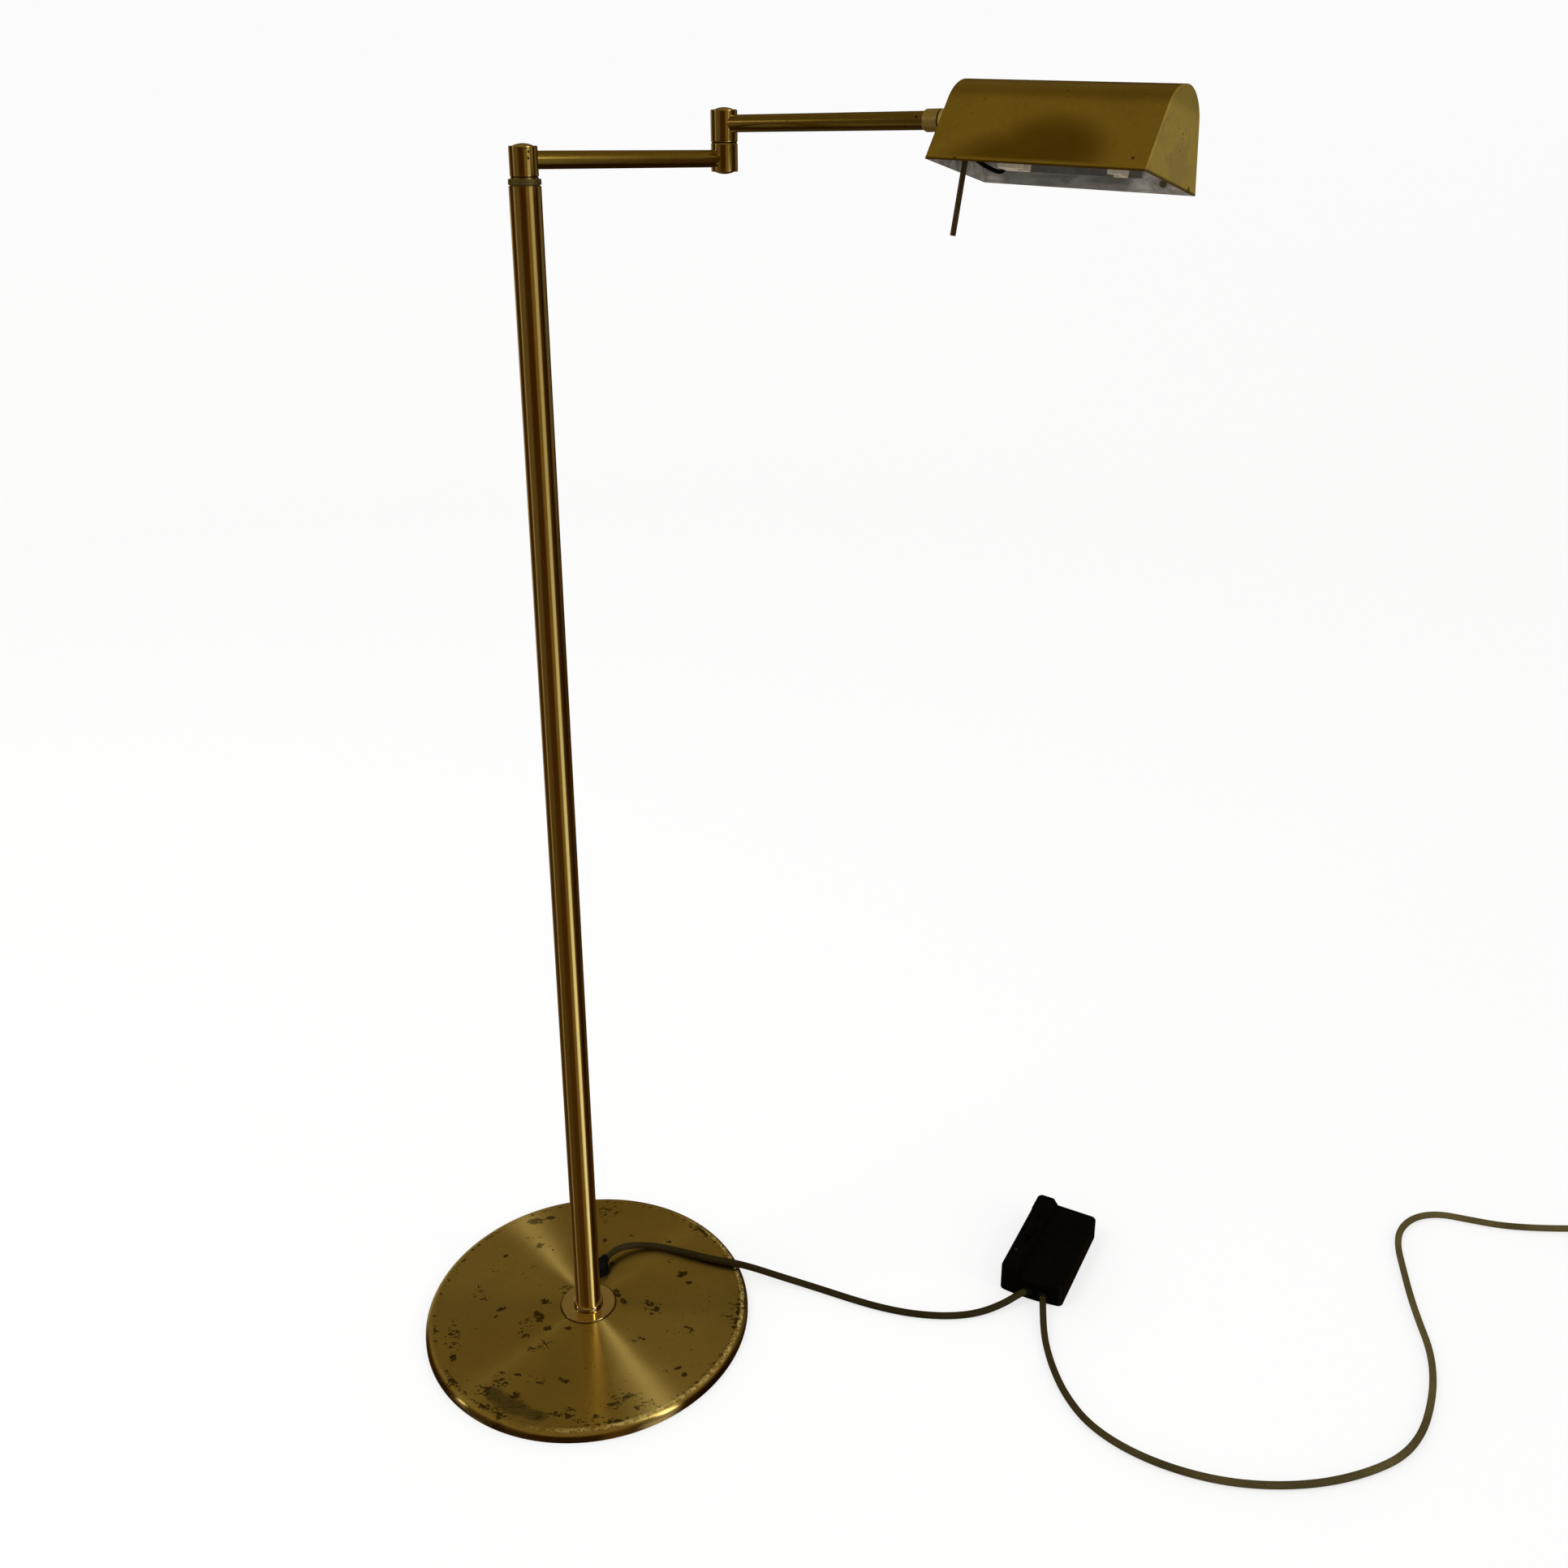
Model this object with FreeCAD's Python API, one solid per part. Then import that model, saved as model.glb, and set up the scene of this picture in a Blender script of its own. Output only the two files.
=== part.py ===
import FreeCAD, Part
import math
import os

# Reading floor lamp: weighted round base, telescopic pole, two swing arms, rolling trough shade,
# foot dimmer and mains cord. Millimetres, +Z up, origin at the middle of the base on the floor.
# The rest pose is the photographed one, seen along +Y.

V = FreeCAD.Vector
PARTS = {}
UP = V(0, 0, 1)

# Clearances of moving and of fixed fits
RUNNING = 0.06
SEAT = 0.05

# Base
BASE_RADIUS = 139.8
BASE_EDGE_HEIGHT = 8.7
BASE_CENTRE_HEIGHT = 9.5
BASE_FLAT_RADIUS = 25.0
BASE_RIM_ROUNDING = 5.3
BASE_SHEET = 1.2
BASE_SHELL_LIFT = 0.4
FELT_THICKNESS = 1.6
FELT_INSET = 1.0
WEIGHT_CLEARANCE = 0.1
WEIGHT_RECESS_RADIUS = 20.0
WEIGHT_RECESS_DEPTH = 3.4

# Pole foot
FLANGE_RADIUS = 23.4
FLANGE_THICKNESS = 1.2
BEAD_RADIUS = 12.9
BEAD_HEIGHT = 3.6
FOOT_NIPPLE_RADIUS = 8.0
FOOT_NIPPLE_BORE = 5.5
FOOT_NIPPLE_RISE = 17.0
FOOT_NUT_ACROSS = 24.0
FOOT_NUT_HEIGHT = 3.0
FOOT_PLUG_LENGTH = 24.0

# Pole and telescopic tube
POLE_RADIUS = 11.0
POLE_WALL = 1.1
POLE_TOP = 943.6
INNER_RADIUS = 9.5
INNER_WALL = 1.2
INNER_LENGTH = 360.0
INNER_PLUG_LENGTH = 14.0
GUIDE_LENGTH = 12.0
GUIDE_RIM = 4.0
GUIDE_BORE = 5.0
COLLET_DEPTH = 26.0
COLLET_THREAD_RADIUS = 10.25
COLLET_RISE = 3.6
COLLET_SLOT = 1.0
COLLET_SLOTS = 4
RING_RADIUS = 11.15
RING_HEIGHT = 3.8
RING_LIFT = 0.9
RING_TOP_ROUNDING = 0.7
RING_FOOT_ROUNDING = 0.3

# Knuckles
KNUCKLE_RADIUS = 9.7
LOWER_KNUCKLE_HEIGHT = 19.8
LOWER_ARM_OFFSET = 0.8
UPPER_KNUCKLE_HEIGHT = 22.4
UPPER_ARM_OFFSET = 1.6
KNUCKLE_FLOOR = 3.5
KNUCKLE_LID = 2.5
KNUCKLE_BORE = 8.2
KNUCKLE_ROUNDING = 1.0
KNUCKLE_GAP = 0.4
KNUCKLE_LIFT = 1.2
CAP_RADIUS = 7.1
CAP_RISE = 1.6
CAP_STEM_RADIUS = 5.4
CAP_STEM_LENGTH = 2.3
PIVOT_RADIUS = 4.98
PIVOT_BORE = 3.4
PIVOT_NUT_ACROSS = 13.0
PIVOT_NUT_HEIGHT = 2.8
PIVOT_SPRING = 0.8
PIVOT_SPRING_RADIUS = 7.4
PIVOT_TAIL = 1.2
PIVOT_DEPTH = 12.0
PIVOT_INSET = 0.6
WASHER_RADIUS = 9.2

# Arms
ARM_RADIUS = 6.0
ARM_WALL = 1.0
LOWER_ARM_REACH = 160.4
LOWER_ARM_HEADING = 35.3
UPPER_ARM_HEADING = -35.9
SLEEVE_START = 168.5
SLEEVE_END = 180.1
SLEEVE_RADIUS = 7.3
SLEEVE_ROUNDING = 1.6
SLEEVE_END_WALL = 4.0
SWIVEL_GAP = 1.2
SWIVEL_WASHER_RADIUS = 6.5

# Shade
SHADE_DROOP = -2.65
SHADE_ROLL = -11.05
SHADE_LENGTH = 147.7
SHADE_BOSS_LENGTH = 15.7
SHADE_HALF_WIDTH = 41.5
SHADE_ARC_RADIUS = 27.1
SHADE_ARC_CENTRE = -1.4
SHADE_EDGE = -31.2
SHADE_SHEET = 1.0
CAP_SHEET = 1.2
REFLECTOR_GAP = 2.4
REFLECTOR_SHEET = 0.6
REFLECTOR_START = 22.0
REFLECTOR_LENGTH = 92.0
REFLECTOR_EDGE = -23.6
REFLECTOR_FLARE = 14.9
BRACKET_DROP = 1.2
BRACKET_WIDTH = 16.0
BRACKET_SHEET = 1.0
BRACKET_HEIGHT = 12.0
BRACKET_CLEARANCE = 0.5
LAMP_CENTRE = 79.0
LAMP_HEIGHT = -18.0
LAMP_GAP = 58.0
HOLDER_LENGTH = 17.0
FAR_HOLDER_LENGTH = 8.5
HOLDER_WIDTH = 13.0
HOLDER_TOP = -8.0
HOLDER_BOTTOM = -28.2
LAMP_RADIUS = 5.0
LAMP_NECK_RADIUS = 3.2
LAMP_NECK_LENGTH = 6.0
LAMP_END_CLEARANCE = 0.3
ROD_RADIUS = 1.9
ROD_OFFSET = 5.6
ROD_TOP = -14.0
ROD_BOTTOM = -71.9
ROD_LUG = 8.0
ROD_LUG_WALL = 1.0
WALL_SCREW_INSET = 20.7
WALL_SCREW_HEIGHT = -25.4
WALL_SCREW_RADIUS = 2.2
WALL_SCREW_HEAD = 1.2
POST_WIDTH = 5.0
REFLECTOR_POST = 94.0
LEAD_RADIUS = 1.4
LEAD_AT_CAP = (-7.2, -10.5)
LEAD_AT_HOLDER = (-3.0, -25.0)

# Cords, grommet, dimmer and plug
CORD_RADIUS = 2.9
GROMMET_X = 5.0
GROMMET_Y = 39.0
GROMMET_RADIUS = 8.4
GROMMET_BODY = 4.1
GROMMET_NECK = 4.5
GROMMET_WALL = 1.2
GROMMET_NOZZLE = 9.4
GROMMET_NOZZLE_HEIGHT = 7.5
GROMMET_HEADING = 56.0
GROMMET_RISE = 2.0
GROMMET_LIFT = 0.02
DIMMER_X = 414.7
DIMMER_Y = 60.5
DIMMER_HEADING = 61.8
DIMMER_LENGTH = 106.8
DIMMER_WIDTH = 56.7
DIMMER_HEIGHT = 20.9
DIMMER_RIDGE_HEIGHT = 25.2
DIMMER_RIDGE_WIDTH = 18.4
DIMMER_RIDGE_SLANT = 3.2
DIMMER_BLOCK_HEIGHT = 26.9
DIMMER_BLOCK_LENGTH = 21.0
DIMMER_BLOCK_SLANT = 2.0
DIMMER_EDGE_ROUNDING = 1.6
DIMMER_CORNER = 5.0
DIMMER_WALL = 2.0
DIMMER_SPLIT = 6.5
DIMMER_FOOT = 0.8
DIMMER_BULGE = 1.8
DIMMER_SKEW = 2.4
SLIDER_START = 2.0
SLIDER_SIDE = 9.85
SLIDER_BACK = 14.0
SLIDER_FORTH = 19.0
SLIDER_LENGTH = 18.0
SLIDER_WIDTH = 7.0
SLIDER_RISE = 2.6
SLIDER_LIFT = 0.3
SLIDER_ROUNDING = 0.8
SLIDER_STEM = 5.0
SLIDER_STEM_DEPTH = 3.4
SLIDER_SLOT = 2.4
SLIDER_PLAY = 0.4
TRACK_WIDTH = 6.0
TRACK_WALL = 4.0
TRACK_DROP = 3.0
LENS_PLACE = -28.0
LENS_SIDE = 5.85
LENS_RADIUS = 1.5
LENS_RISE = 0.4
BOARD_HEIGHT = 9.2
BOARD_SHEET = 1.6
BOARD_GAP = 1.0
BOARD_BACK_GAP = 4.0
BOARD_SIDE_GAP = 11.0
BOARD_PILLAR_PLACE = 24.0
BOARD_PILLAR_RADIUS = 2.2
CHOKE_PLACE = (20.0, -8.0)
CHOKE_RADIUS = 8.0
CHOKE_HEIGHT = 5.0
SCREW_INSET_X = 10.0
SCREW_INSET_Y = 9.0
SCREW_BOSS = 3.2
SCREW_RADIUS = 1.4
SCREW_LENGTH = 9.0
SCREW_HEAD_RADIUS = 2.7
SCREW_HEAD_HEIGHT = 1.2
FOOT_RADIUS = 4.0
FOOT_INSET = 9.0
BUSH_RADIUS = 4.3
BUSH_LENGTH = 8.0
BUSH_OUTSIDE = 3.4
BUSH_HEIGHT = 8.4
CORD_1_SIDE = 2.0
CORD_1_SLANT = -31.8
CORD_2_SIDE = -11.5
CORD_2_SLANT = 20.0
COIL_X = 955.0
COIL_Y = 97.0
COIL_HEADING = 0.0
COIL_TURNS = 4.25
COIL_MEAN_RADIUS = 32.0
COIL_PITCH = 6.4
COIL_LAYER = 6.3
PLUG_LENGTH = 30.0
PLUG_WIDTH = 35.3
PLUG_THICKNESS = 13.7
PLUG_REAR_WIDTH = 17.0
PLUG_REAR_THICKNESS = 11.0
PLUG_RELIEF_RADIUS = 5.4
PLUG_RELIEF_TIP = 3.9
PLUG_RELIEF_LENGTH = 22.0
PLUG_GRIP_SHARE = 0.6
PLUG_ROUNDING = 3.0
PIN_RADIUS = 2.0
PIN_LENGTH = 19.0
PIN_SPACING = 18.8

# Routes chosen by hand; z is the middle of the cord
CORD_1_ROUTE = [
    V(15.28, 54.25, 17.54), V(22.9, 61.3, 16.6), V(32.0, 65.9, 14.8), V(42.1, 68.0, 13.1),
    V(53.8, 67.6, 12.25), V(69.0, 63.7, 12.1), V(88.0, 57.2, 12.1),
    V(109.0, 50.2, 12.0), V(128.0, 45.8, 11.9), V(146.0, 41.0, 10.2), V(165.0, 36.6, 6.4),
    V(185.0, 31.0, 3.6), V(208.0, 21.6, 2.95), V(232.0, 10.6, 2.95), V(257.0, 0.6, 2.95),
    V(283.0, -6.6, 2.95), V(309.0, -9.6, 2.95), V(330.0, -8.4, 2.95), V(345.5, -4.6, 3.15),
    V(357.0, -0.6, 4.3), V(368.3, 4.2, 6.0), V(379.6, 10.32, 8.4)]
CORD_2_ROUTE = [
    V(398.66, -0.91, 8.4), V(396.9, -13.5, 6.2), V(395.3, -27.0, 4.2), V(394.5, -44.0, 3.05),
    V(396.0, -69.0, 2.95), V(401.5, -97.0, 2.95), V(414.0, -125.0, 2.95), V(438.0, -149.0, 2.95),
    V(470.0, -167.5, 2.95), V(507.0, -179.6, 2.95), V(545.0, -183.6, 2.95), V(584.0, -181.0, 2.95),
    V(621.0, -171.6, 2.95), V(653.0, -157.4, 2.95), V(677.0, -135.6, 2.95), V(695.0, -108.5, 2.95),
    V(709.5, -79.5, 2.95), V(719.0, -49.0, 2.95), V(722.6, -17.5, 2.95), V(727.6, 14.5, 2.95),
    V(734.6, 47.0, 2.95), V(741.0, 76.0, 2.95), V(752.0, 98.0, 2.95), V(772.0, 114.5, 2.95),
    V(797.0, 119.0, 2.95), V(822.0, 110.8, 2.95), V(850.0, 102.0, 2.95), V(886.0, 98.3, 2.95),
    V(925.2, 97.8, 2.95)]


def save(name, *solids):
    shape = solids[0] if len(solids) == 1 else Part.makeCompound(list(solids))
    PARTS[name] = shape
    shape.exportStep("parts/%s.step" % name)
    print("%-22s volume %10.1f valid %s" % (name, shape.Volume, shape.isValid()))


def cylinder(radius, bottom, top, bore=0.0):
    body = Part.makeCylinder(radius, top - bottom, V(0, 0, bottom))
    if bore > 0:
        body = body.cut(Part.makeCylinder(bore, top - bottom, V(0, 0, bottom)))
    return body


def hexagon(across, bottom, top, bore):
    corner = across / math.sqrt(3)
    points = [V(corner * math.cos(math.radians(60 * k)), corner * math.sin(math.radians(60 * k)), bottom)
              for k in range(7)]
    body = Part.Face(Part.makePolygon(points)).extrude(V(0, 0, top - bottom))
    return body.cut(Part.makeCylinder(bore, top - bottom, V(0, 0, bottom)))


def revolve(edges):
    face = Part.Face(Part.Wire(edges))
    return face.revolve(V(0, 0, 0), UP, 360)


def line(a, b):
    return Part.LineSegment(V(a[0], 0, a[1]), V(b[0], 0, b[1])).toShape()


def arc(a, b, c):
    return Part.Arc(V(a[0], 0, a[1]), V(b[0], 0, b[1]), V(c[0], 0, c[1])).toShape()


def polyline(points):
    return [line(points[k], points[k + 1]) for k in range(len(points) - 1)]


def heading(degrees):
    return V(math.cos(math.radians(degrees)), math.sin(math.radians(degrees)), 0)


def placed(shape, place):
    moved = shape.copy()
    moved.Placement = place.multiply(moved.Placement)
    return moved


def along(start, direction):
    # Placement that takes +Z to the given direction
    return FreeCAD.Placement(start, FreeCAD.Rotation(UP, direction))


# Heights that several pieces share
FLANGE_TOP = BASE_CENTRE_HEIGHT + FLANGE_THICKNESS
RING_BOTTOM = POLE_TOP + RING_LIFT
RING_TOP = RING_BOTTOM + RING_HEIGHT
POLE_KNUCKLE_FLOOR = RING_TOP + KNUCKLE_LIFT
POLE_KNUCKLE_TOP = POLE_KNUCKLE_FLOOR + LOWER_KNUCKLE_HEIGHT
LOWER_AXIS = POLE_KNUCKLE_FLOOR + LOWER_KNUCKLE_HEIGHT / 2 + LOWER_ARM_OFFSET
ELBOW_BOTTOM = LOWER_AXIS - LOWER_KNUCKLE_HEIGHT / 2 + LOWER_ARM_OFFSET
ELBOW_MIDDLE = ELBOW_BOTTOM + LOWER_KNUCKLE_HEIGHT
UPPER_FLOOR = ELBOW_MIDDLE + KNUCKLE_GAP
UPPER_TOP = UPPER_FLOOR + UPPER_KNUCKLE_HEIGHT
UPPER_AXIS = UPPER_FLOOR + UPPER_KNUCKLE_HEIGHT / 2 + UPPER_ARM_OFFSET
INNER_TOP = POLE_KNUCKLE_FLOOR - KNUCKLE_GAP
INNER_BOTTOM = INNER_TOP - INNER_LENGTH
POLE_BORE = POLE_RADIUS - POLE_WALL
INNER_BORE = INNER_RADIUS - INNER_WALL
ARM_BORE = ARM_RADIUS - ARM_WALL

ELBOW = heading(LOWER_ARM_HEADING) * LOWER_ARM_REACH
UPPER_DIRECTION = heading(UPPER_ARM_HEADING)
SWIVEL_POINT = ELBOW + V(0, 0, UPPER_AXIS) + UPPER_DIRECTION * (SLEEVE_END + SWIVEL_GAP / 2)
SHADE_TURN = (FreeCAD.Rotation(UP, UPPER_ARM_HEADING)
              * FreeCAD.Rotation(V(0, 1, 0), -SHADE_DROOP)
              * FreeCAD.Rotation(V(1, 0, 0), SHADE_ROLL))
SHADE_AXIS = SHADE_TURN.multVec(V(1, 0, 0))
SHADE_START = SWIVEL_POINT + SHADE_AXIS * (SWIVEL_GAP / 2 + SHADE_BOSS_LENGTH)
SHADE_PLACE = FreeCAD.Placement(SHADE_START, SHADE_TURN)
SWIVEL_PLACE = FreeCAD.Placement(SWIVEL_POINT, SHADE_TURN)


def base_top(radius):
    share = max(0.0, radius - BASE_FLAT_RADIUS) / (BASE_RADIUS - BASE_RIM_ROUNDING - BASE_FLAT_RADIUS)
    return BASE_CENTRE_HEIGHT - share * (BASE_CENTRE_HEIGHT - BASE_EDGE_HEIGHT)


def base_outline(inset, bottom, inner_radius):
    # Closed half profile of the spun cover, drawn at a distance inside its outer face
    radius = BASE_RADIUS - inset
    rounding = BASE_RIM_ROUNDING - inset
    rim = radius - rounding
    edge = BASE_EDGE_HEIGHT - inset
    middle = BASE_CENTRE_HEIGHT - inset
    diagonal = rounding * math.sqrt(0.5)
    return [line((inner_radius, bottom), (radius, bottom)),
            line((radius, bottom), (radius, edge - rounding)),
            arc((radius, edge - rounding), (rim + diagonal, edge - rounding + diagonal), (rim, edge)),
            line((rim, edge), (BASE_FLAT_RADIUS, middle)),
            line((BASE_FLAT_RADIUS, middle), (inner_radius, middle)),
            line((inner_radius, middle), (inner_radius, bottom))]


def make_base():
    hole = FOOT_NIPPLE_RADIUS + SEAT
    grommet_spot = V(GROMMET_X, GROMMET_Y, 0)
    grommet_hole = Part.makeCylinder(GROMMET_NECK + SEAT, BASE_CENTRE_HEIGHT * 2,
                                     grommet_spot)
    shell = revolve(base_outline(0, BASE_SHELL_LIFT, hole))
    hollow = revolve(base_outline(BASE_SHEET, 0, hole / 2))
    save("base_shell", shell.cut(hollow).cut(grommet_hole))

    inset = BASE_SHEET + WEIGHT_CLEARANCE
    weight = revolve(base_outline(inset, FELT_THICKNESS, hole))
    recess = cylinder(WEIGHT_RECESS_RADIUS, FELT_THICKNESS, FELT_THICKNESS + WEIGHT_RECESS_DEPTH)
    channel = Part.makeBox(GROMMET_NECK * 2, GROMMET_Y, WEIGHT_RECESS_DEPTH,
                           V(GROMMET_X - GROMMET_NECK, 0, FELT_THICKNESS))
    save("base_weight", weight.cut(recess).cut(channel).cut(grommet_hole))
    save("base_felt", cylinder(BASE_RADIUS - inset - FELT_INSET, 0, FELT_THICKNESS))

    low = BASE_CENTRE_HEIGHT
    high = FLANGE_TOP
    edge = FLANGE_THICKNESS / 2
    save("flange_washer", revolve([
        line((hole, low), (FLANGE_RADIUS - edge, low)),
        arc((FLANGE_RADIUS - edge, low), (FLANGE_RADIUS, (low + high) / 2), (FLANGE_RADIUS - edge, high)),
        line((FLANGE_RADIUS - edge, high), (hole, high)),
        line((hole, high), (hole, low))]))

    inner = POLE_RADIUS + SEAT
    shoulder = (inner + BEAD_RADIUS) / 2
    save("pole_bead_ring", revolve([
        line((inner, high), (shoulder, high)),
        arc((shoulder, high), (BEAD_RADIUS, high + BEAD_HEIGHT / 2), (shoulder, high + BEAD_HEIGHT)),
        line((shoulder, high + BEAD_HEIGHT), (inner, high + BEAD_HEIGHT)),
        line((inner, high + BEAD_HEIGHT), (inner, high))]))

    nut_top = FELT_THICKNESS + WEIGHT_RECESS_DEPTH
    nipple_bottom = nut_top - FOOT_NUT_HEIGHT
    save("foot_nipple", cylinder(FOOT_NIPPLE_RADIUS, nipple_bottom, FLANGE_TOP + FOOT_NIPPLE_RISE,
                                 FOOT_NIPPLE_BORE))
    save("foot_nut", hexagon(FOOT_NUT_ACROSS, nipple_bottom, nut_top, hole))
    save("pole_foot_plug", cylinder(POLE_BORE - SEAT, FLANGE_TOP, FLANGE_TOP + FOOT_PLUG_LENGTH, hole))


def make_grommet():
    # Domed black strain relief whose nozzle leans the way the cord leaves
    seat = base_top(math.hypot(GROMMET_X, GROMMET_Y))
    spot = V(GROMMET_X, GROMMET_Y, 0)
    dome_middle = spot + V(0, 0, seat + GROMMET_BODY)
    body = Part.makeCylinder(GROMMET_RADIUS, GROMMET_BODY, spot + V(0, 0, seat + GROMMET_LIFT))
    dome = Part.makeSphere(GROMMET_RADIUS, dome_middle)
    below = Part.makeCylinder(GROMMET_RADIUS * 2, GROMMET_RADIUS * 2,
                              dome_middle - V(0, 0, GROMMET_RADIUS * 2))
    neck_bottom = FELT_THICKNESS + WEIGHT_RECESS_DEPTH
    neck = Part.makeCylinder(GROMMET_NECK, seat + 1 - neck_bottom, spot + V(0, 0, neck_bottom))
    nozzle = Part.makeCylinder(CORD_RADIUS + GROMMET_WALL, GROMMET_NOZZLE, grommet_start(), grommet_direction())
    save("cord_grommet", body.fuse(dome.cut(below)).fuse(neck).fuse(nozzle).removeSplitter())


def grommet_direction():
    rise = math.radians(GROMMET_RISE)
    return heading(GROMMET_HEADING) * math.cos(rise) + V(0, 0, math.sin(rise))


def grommet_start():
    seat = base_top(math.hypot(GROMMET_X, GROMMET_Y))
    return V(GROMMET_X, GROMMET_Y, seat + GROMMET_NOZZLE_HEIGHT)


def grommet_mouth():
    return grommet_start() + grommet_direction() * GROMMET_NOZZLE


def make_pole():
    save("pole_tube", cylinder(POLE_RADIUS, FLANGE_TOP, POLE_TOP, POLE_BORE))

    # Slotted clamping bush: spigot in the pole, threaded end inside the clamp ring
    bore = INNER_RADIUS + RUNNING
    collet = cylinder(POLE_BORE - SEAT, POLE_TOP - COLLET_DEPTH, POLE_TOP, bore)
    collet = collet.fuse(cylinder(COLLET_THREAD_RADIUS, POLE_TOP, POLE_TOP + COLLET_RISE, bore))
    collet = collet.removeSplitter()
    slot_depth = COLLET_RISE + COLLET_DEPTH / 3
    for k in range(COLLET_SLOTS):
        slot = Part.makeBox(RING_RADIUS, COLLET_SLOT, slot_depth,
                            V(0, -COLLET_SLOT / 2, POLE_TOP + COLLET_RISE - slot_depth))
        slot.rotate(V(0, 0, 0), UP, 45 + 360.0 / COLLET_SLOTS * k)
        collet = collet.cut(slot)
    save("pole_collet", collet)

    save("clamp_ring", turned(RING_RADIUS, RING_BOTTOM, RING_TOP, RING_FOOT_ROUNDING, RING_TOP_ROUNDING,
                              COLLET_THREAD_RADIUS + RUNNING))

    save("inner_tube", cylinder(INNER_RADIUS, INNER_BOTTOM, INNER_TOP, INNER_BORE))
    guide = cylinder(POLE_BORE - RUNNING, INNER_BOTTOM - GUIDE_RIM, INNER_BOTTOM, GUIDE_BORE)
    guide = guide.fuse(cylinder(INNER_BORE - SEAT, INNER_BOTTOM, INNER_BOTTOM + GUIDE_LENGTH, GUIDE_BORE))
    save("inner_guide", guide.removeSplitter())
    save("inner_tube_plug", cylinder(INNER_BORE - SEAT, INNER_TOP - INNER_PLUG_LENGTH, INNER_TOP,
                                     PIVOT_RADIUS + SEAT))


def turned(radius, bottom, top, foot_soft, top_soft, bore=0.0):
    # Turned piece with its two outer rims rounded
    slack = 1 - math.sqrt(0.5)
    foot, crown = radius - foot_soft, radius - top_soft
    return revolve([
        line((bore, bottom), (foot, bottom)),
        arc((foot, bottom), (radius - foot_soft * slack, bottom + foot_soft * slack), (radius, bottom + foot_soft)),
        line((radius, bottom + foot_soft), (radius, top - top_soft)),
        arc((radius, top - top_soft), (radius - top_soft * slack, top - top_soft * slack), (crown, top)),
        line((crown, top), (bore, top)),
        line((bore, top), (bore, bottom))])


def knuckle(bottom, top, lid_up, arm_axis, arm_heading):
    # Hollow turned knuckle: a pivot floor at one end, a lid with the cap's hole at the other
    body = turned(KNUCKLE_RADIUS, bottom, top, KNUCKLE_ROUNDING, KNUCKLE_ROUNDING)
    floor_wall, lid_wall = (KNUCKLE_FLOOR, KNUCKLE_LID) if lid_up else (KNUCKLE_LID, KNUCKLE_FLOOR)
    body = body.cut(cylinder(KNUCKLE_BORE, bottom + floor_wall, top - lid_wall))
    pivot = cylinder(PIVOT_RADIUS + RUNNING, bottom, bottom + floor_wall)
    lid = cylinder(CAP_STEM_RADIUS + SEAT, top - lid_wall, top)
    if not lid_up:
        pivot = cylinder(PIVOT_RADIUS + SEAT, top - lid_wall, top)
        lid = cylinder(CAP_STEM_RADIUS + SEAT, bottom, bottom + floor_wall)
    passage = Part.makeCylinder(ARM_BORE, KNUCKLE_RADIUS * 2, V(0, 0, arm_axis), heading(arm_heading))
    return body.cut(pivot).cut(lid).cut(passage)


def knuckle_cap(face, upward):
    sphere_radius = (CAP_RADIUS ** 2 + CAP_RISE ** 2) / (2 * CAP_RISE)
    side = 1 if upward else -1
    half = math.asin(CAP_RADIUS / sphere_radius) / 2
    middle = (sphere_radius * math.sin(half), face + side * (sphere_radius * (math.cos(half) - 1) + CAP_RISE))
    dome = revolve([line((0, face), (CAP_RADIUS, face)),
                    arc((CAP_RADIUS, face), middle, (0, face + side * CAP_RISE)),
                    line((0, face + side * CAP_RISE), (0, face))])
    low, high = (face - CAP_STEM_LENGTH, face) if upward else (face, face + CAP_STEM_LENGTH)
    return dome.fuse(cylinder(CAP_STEM_RADIUS, low, high)).removeSplitter()


def pivot_stack(seat, nipple_bottom):
    # Spring washer and nut that hold a knuckle's floor on its hollow pivot
    spring_top = seat + PIVOT_SPRING
    nut_top = spring_top + PIVOT_NUT_HEIGHT
    nipple = cylinder(PIVOT_RADIUS, nipple_bottom, nut_top + PIVOT_TAIL, PIVOT_BORE)
    spring = cylinder(PIVOT_SPRING_RADIUS, seat, spring_top, PIVOT_RADIUS + RUNNING)
    nut = hexagon(PIVOT_NUT_ACROSS, spring_top, nut_top, PIVOT_RADIUS + SEAT)
    return nipple, spring, nut


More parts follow.
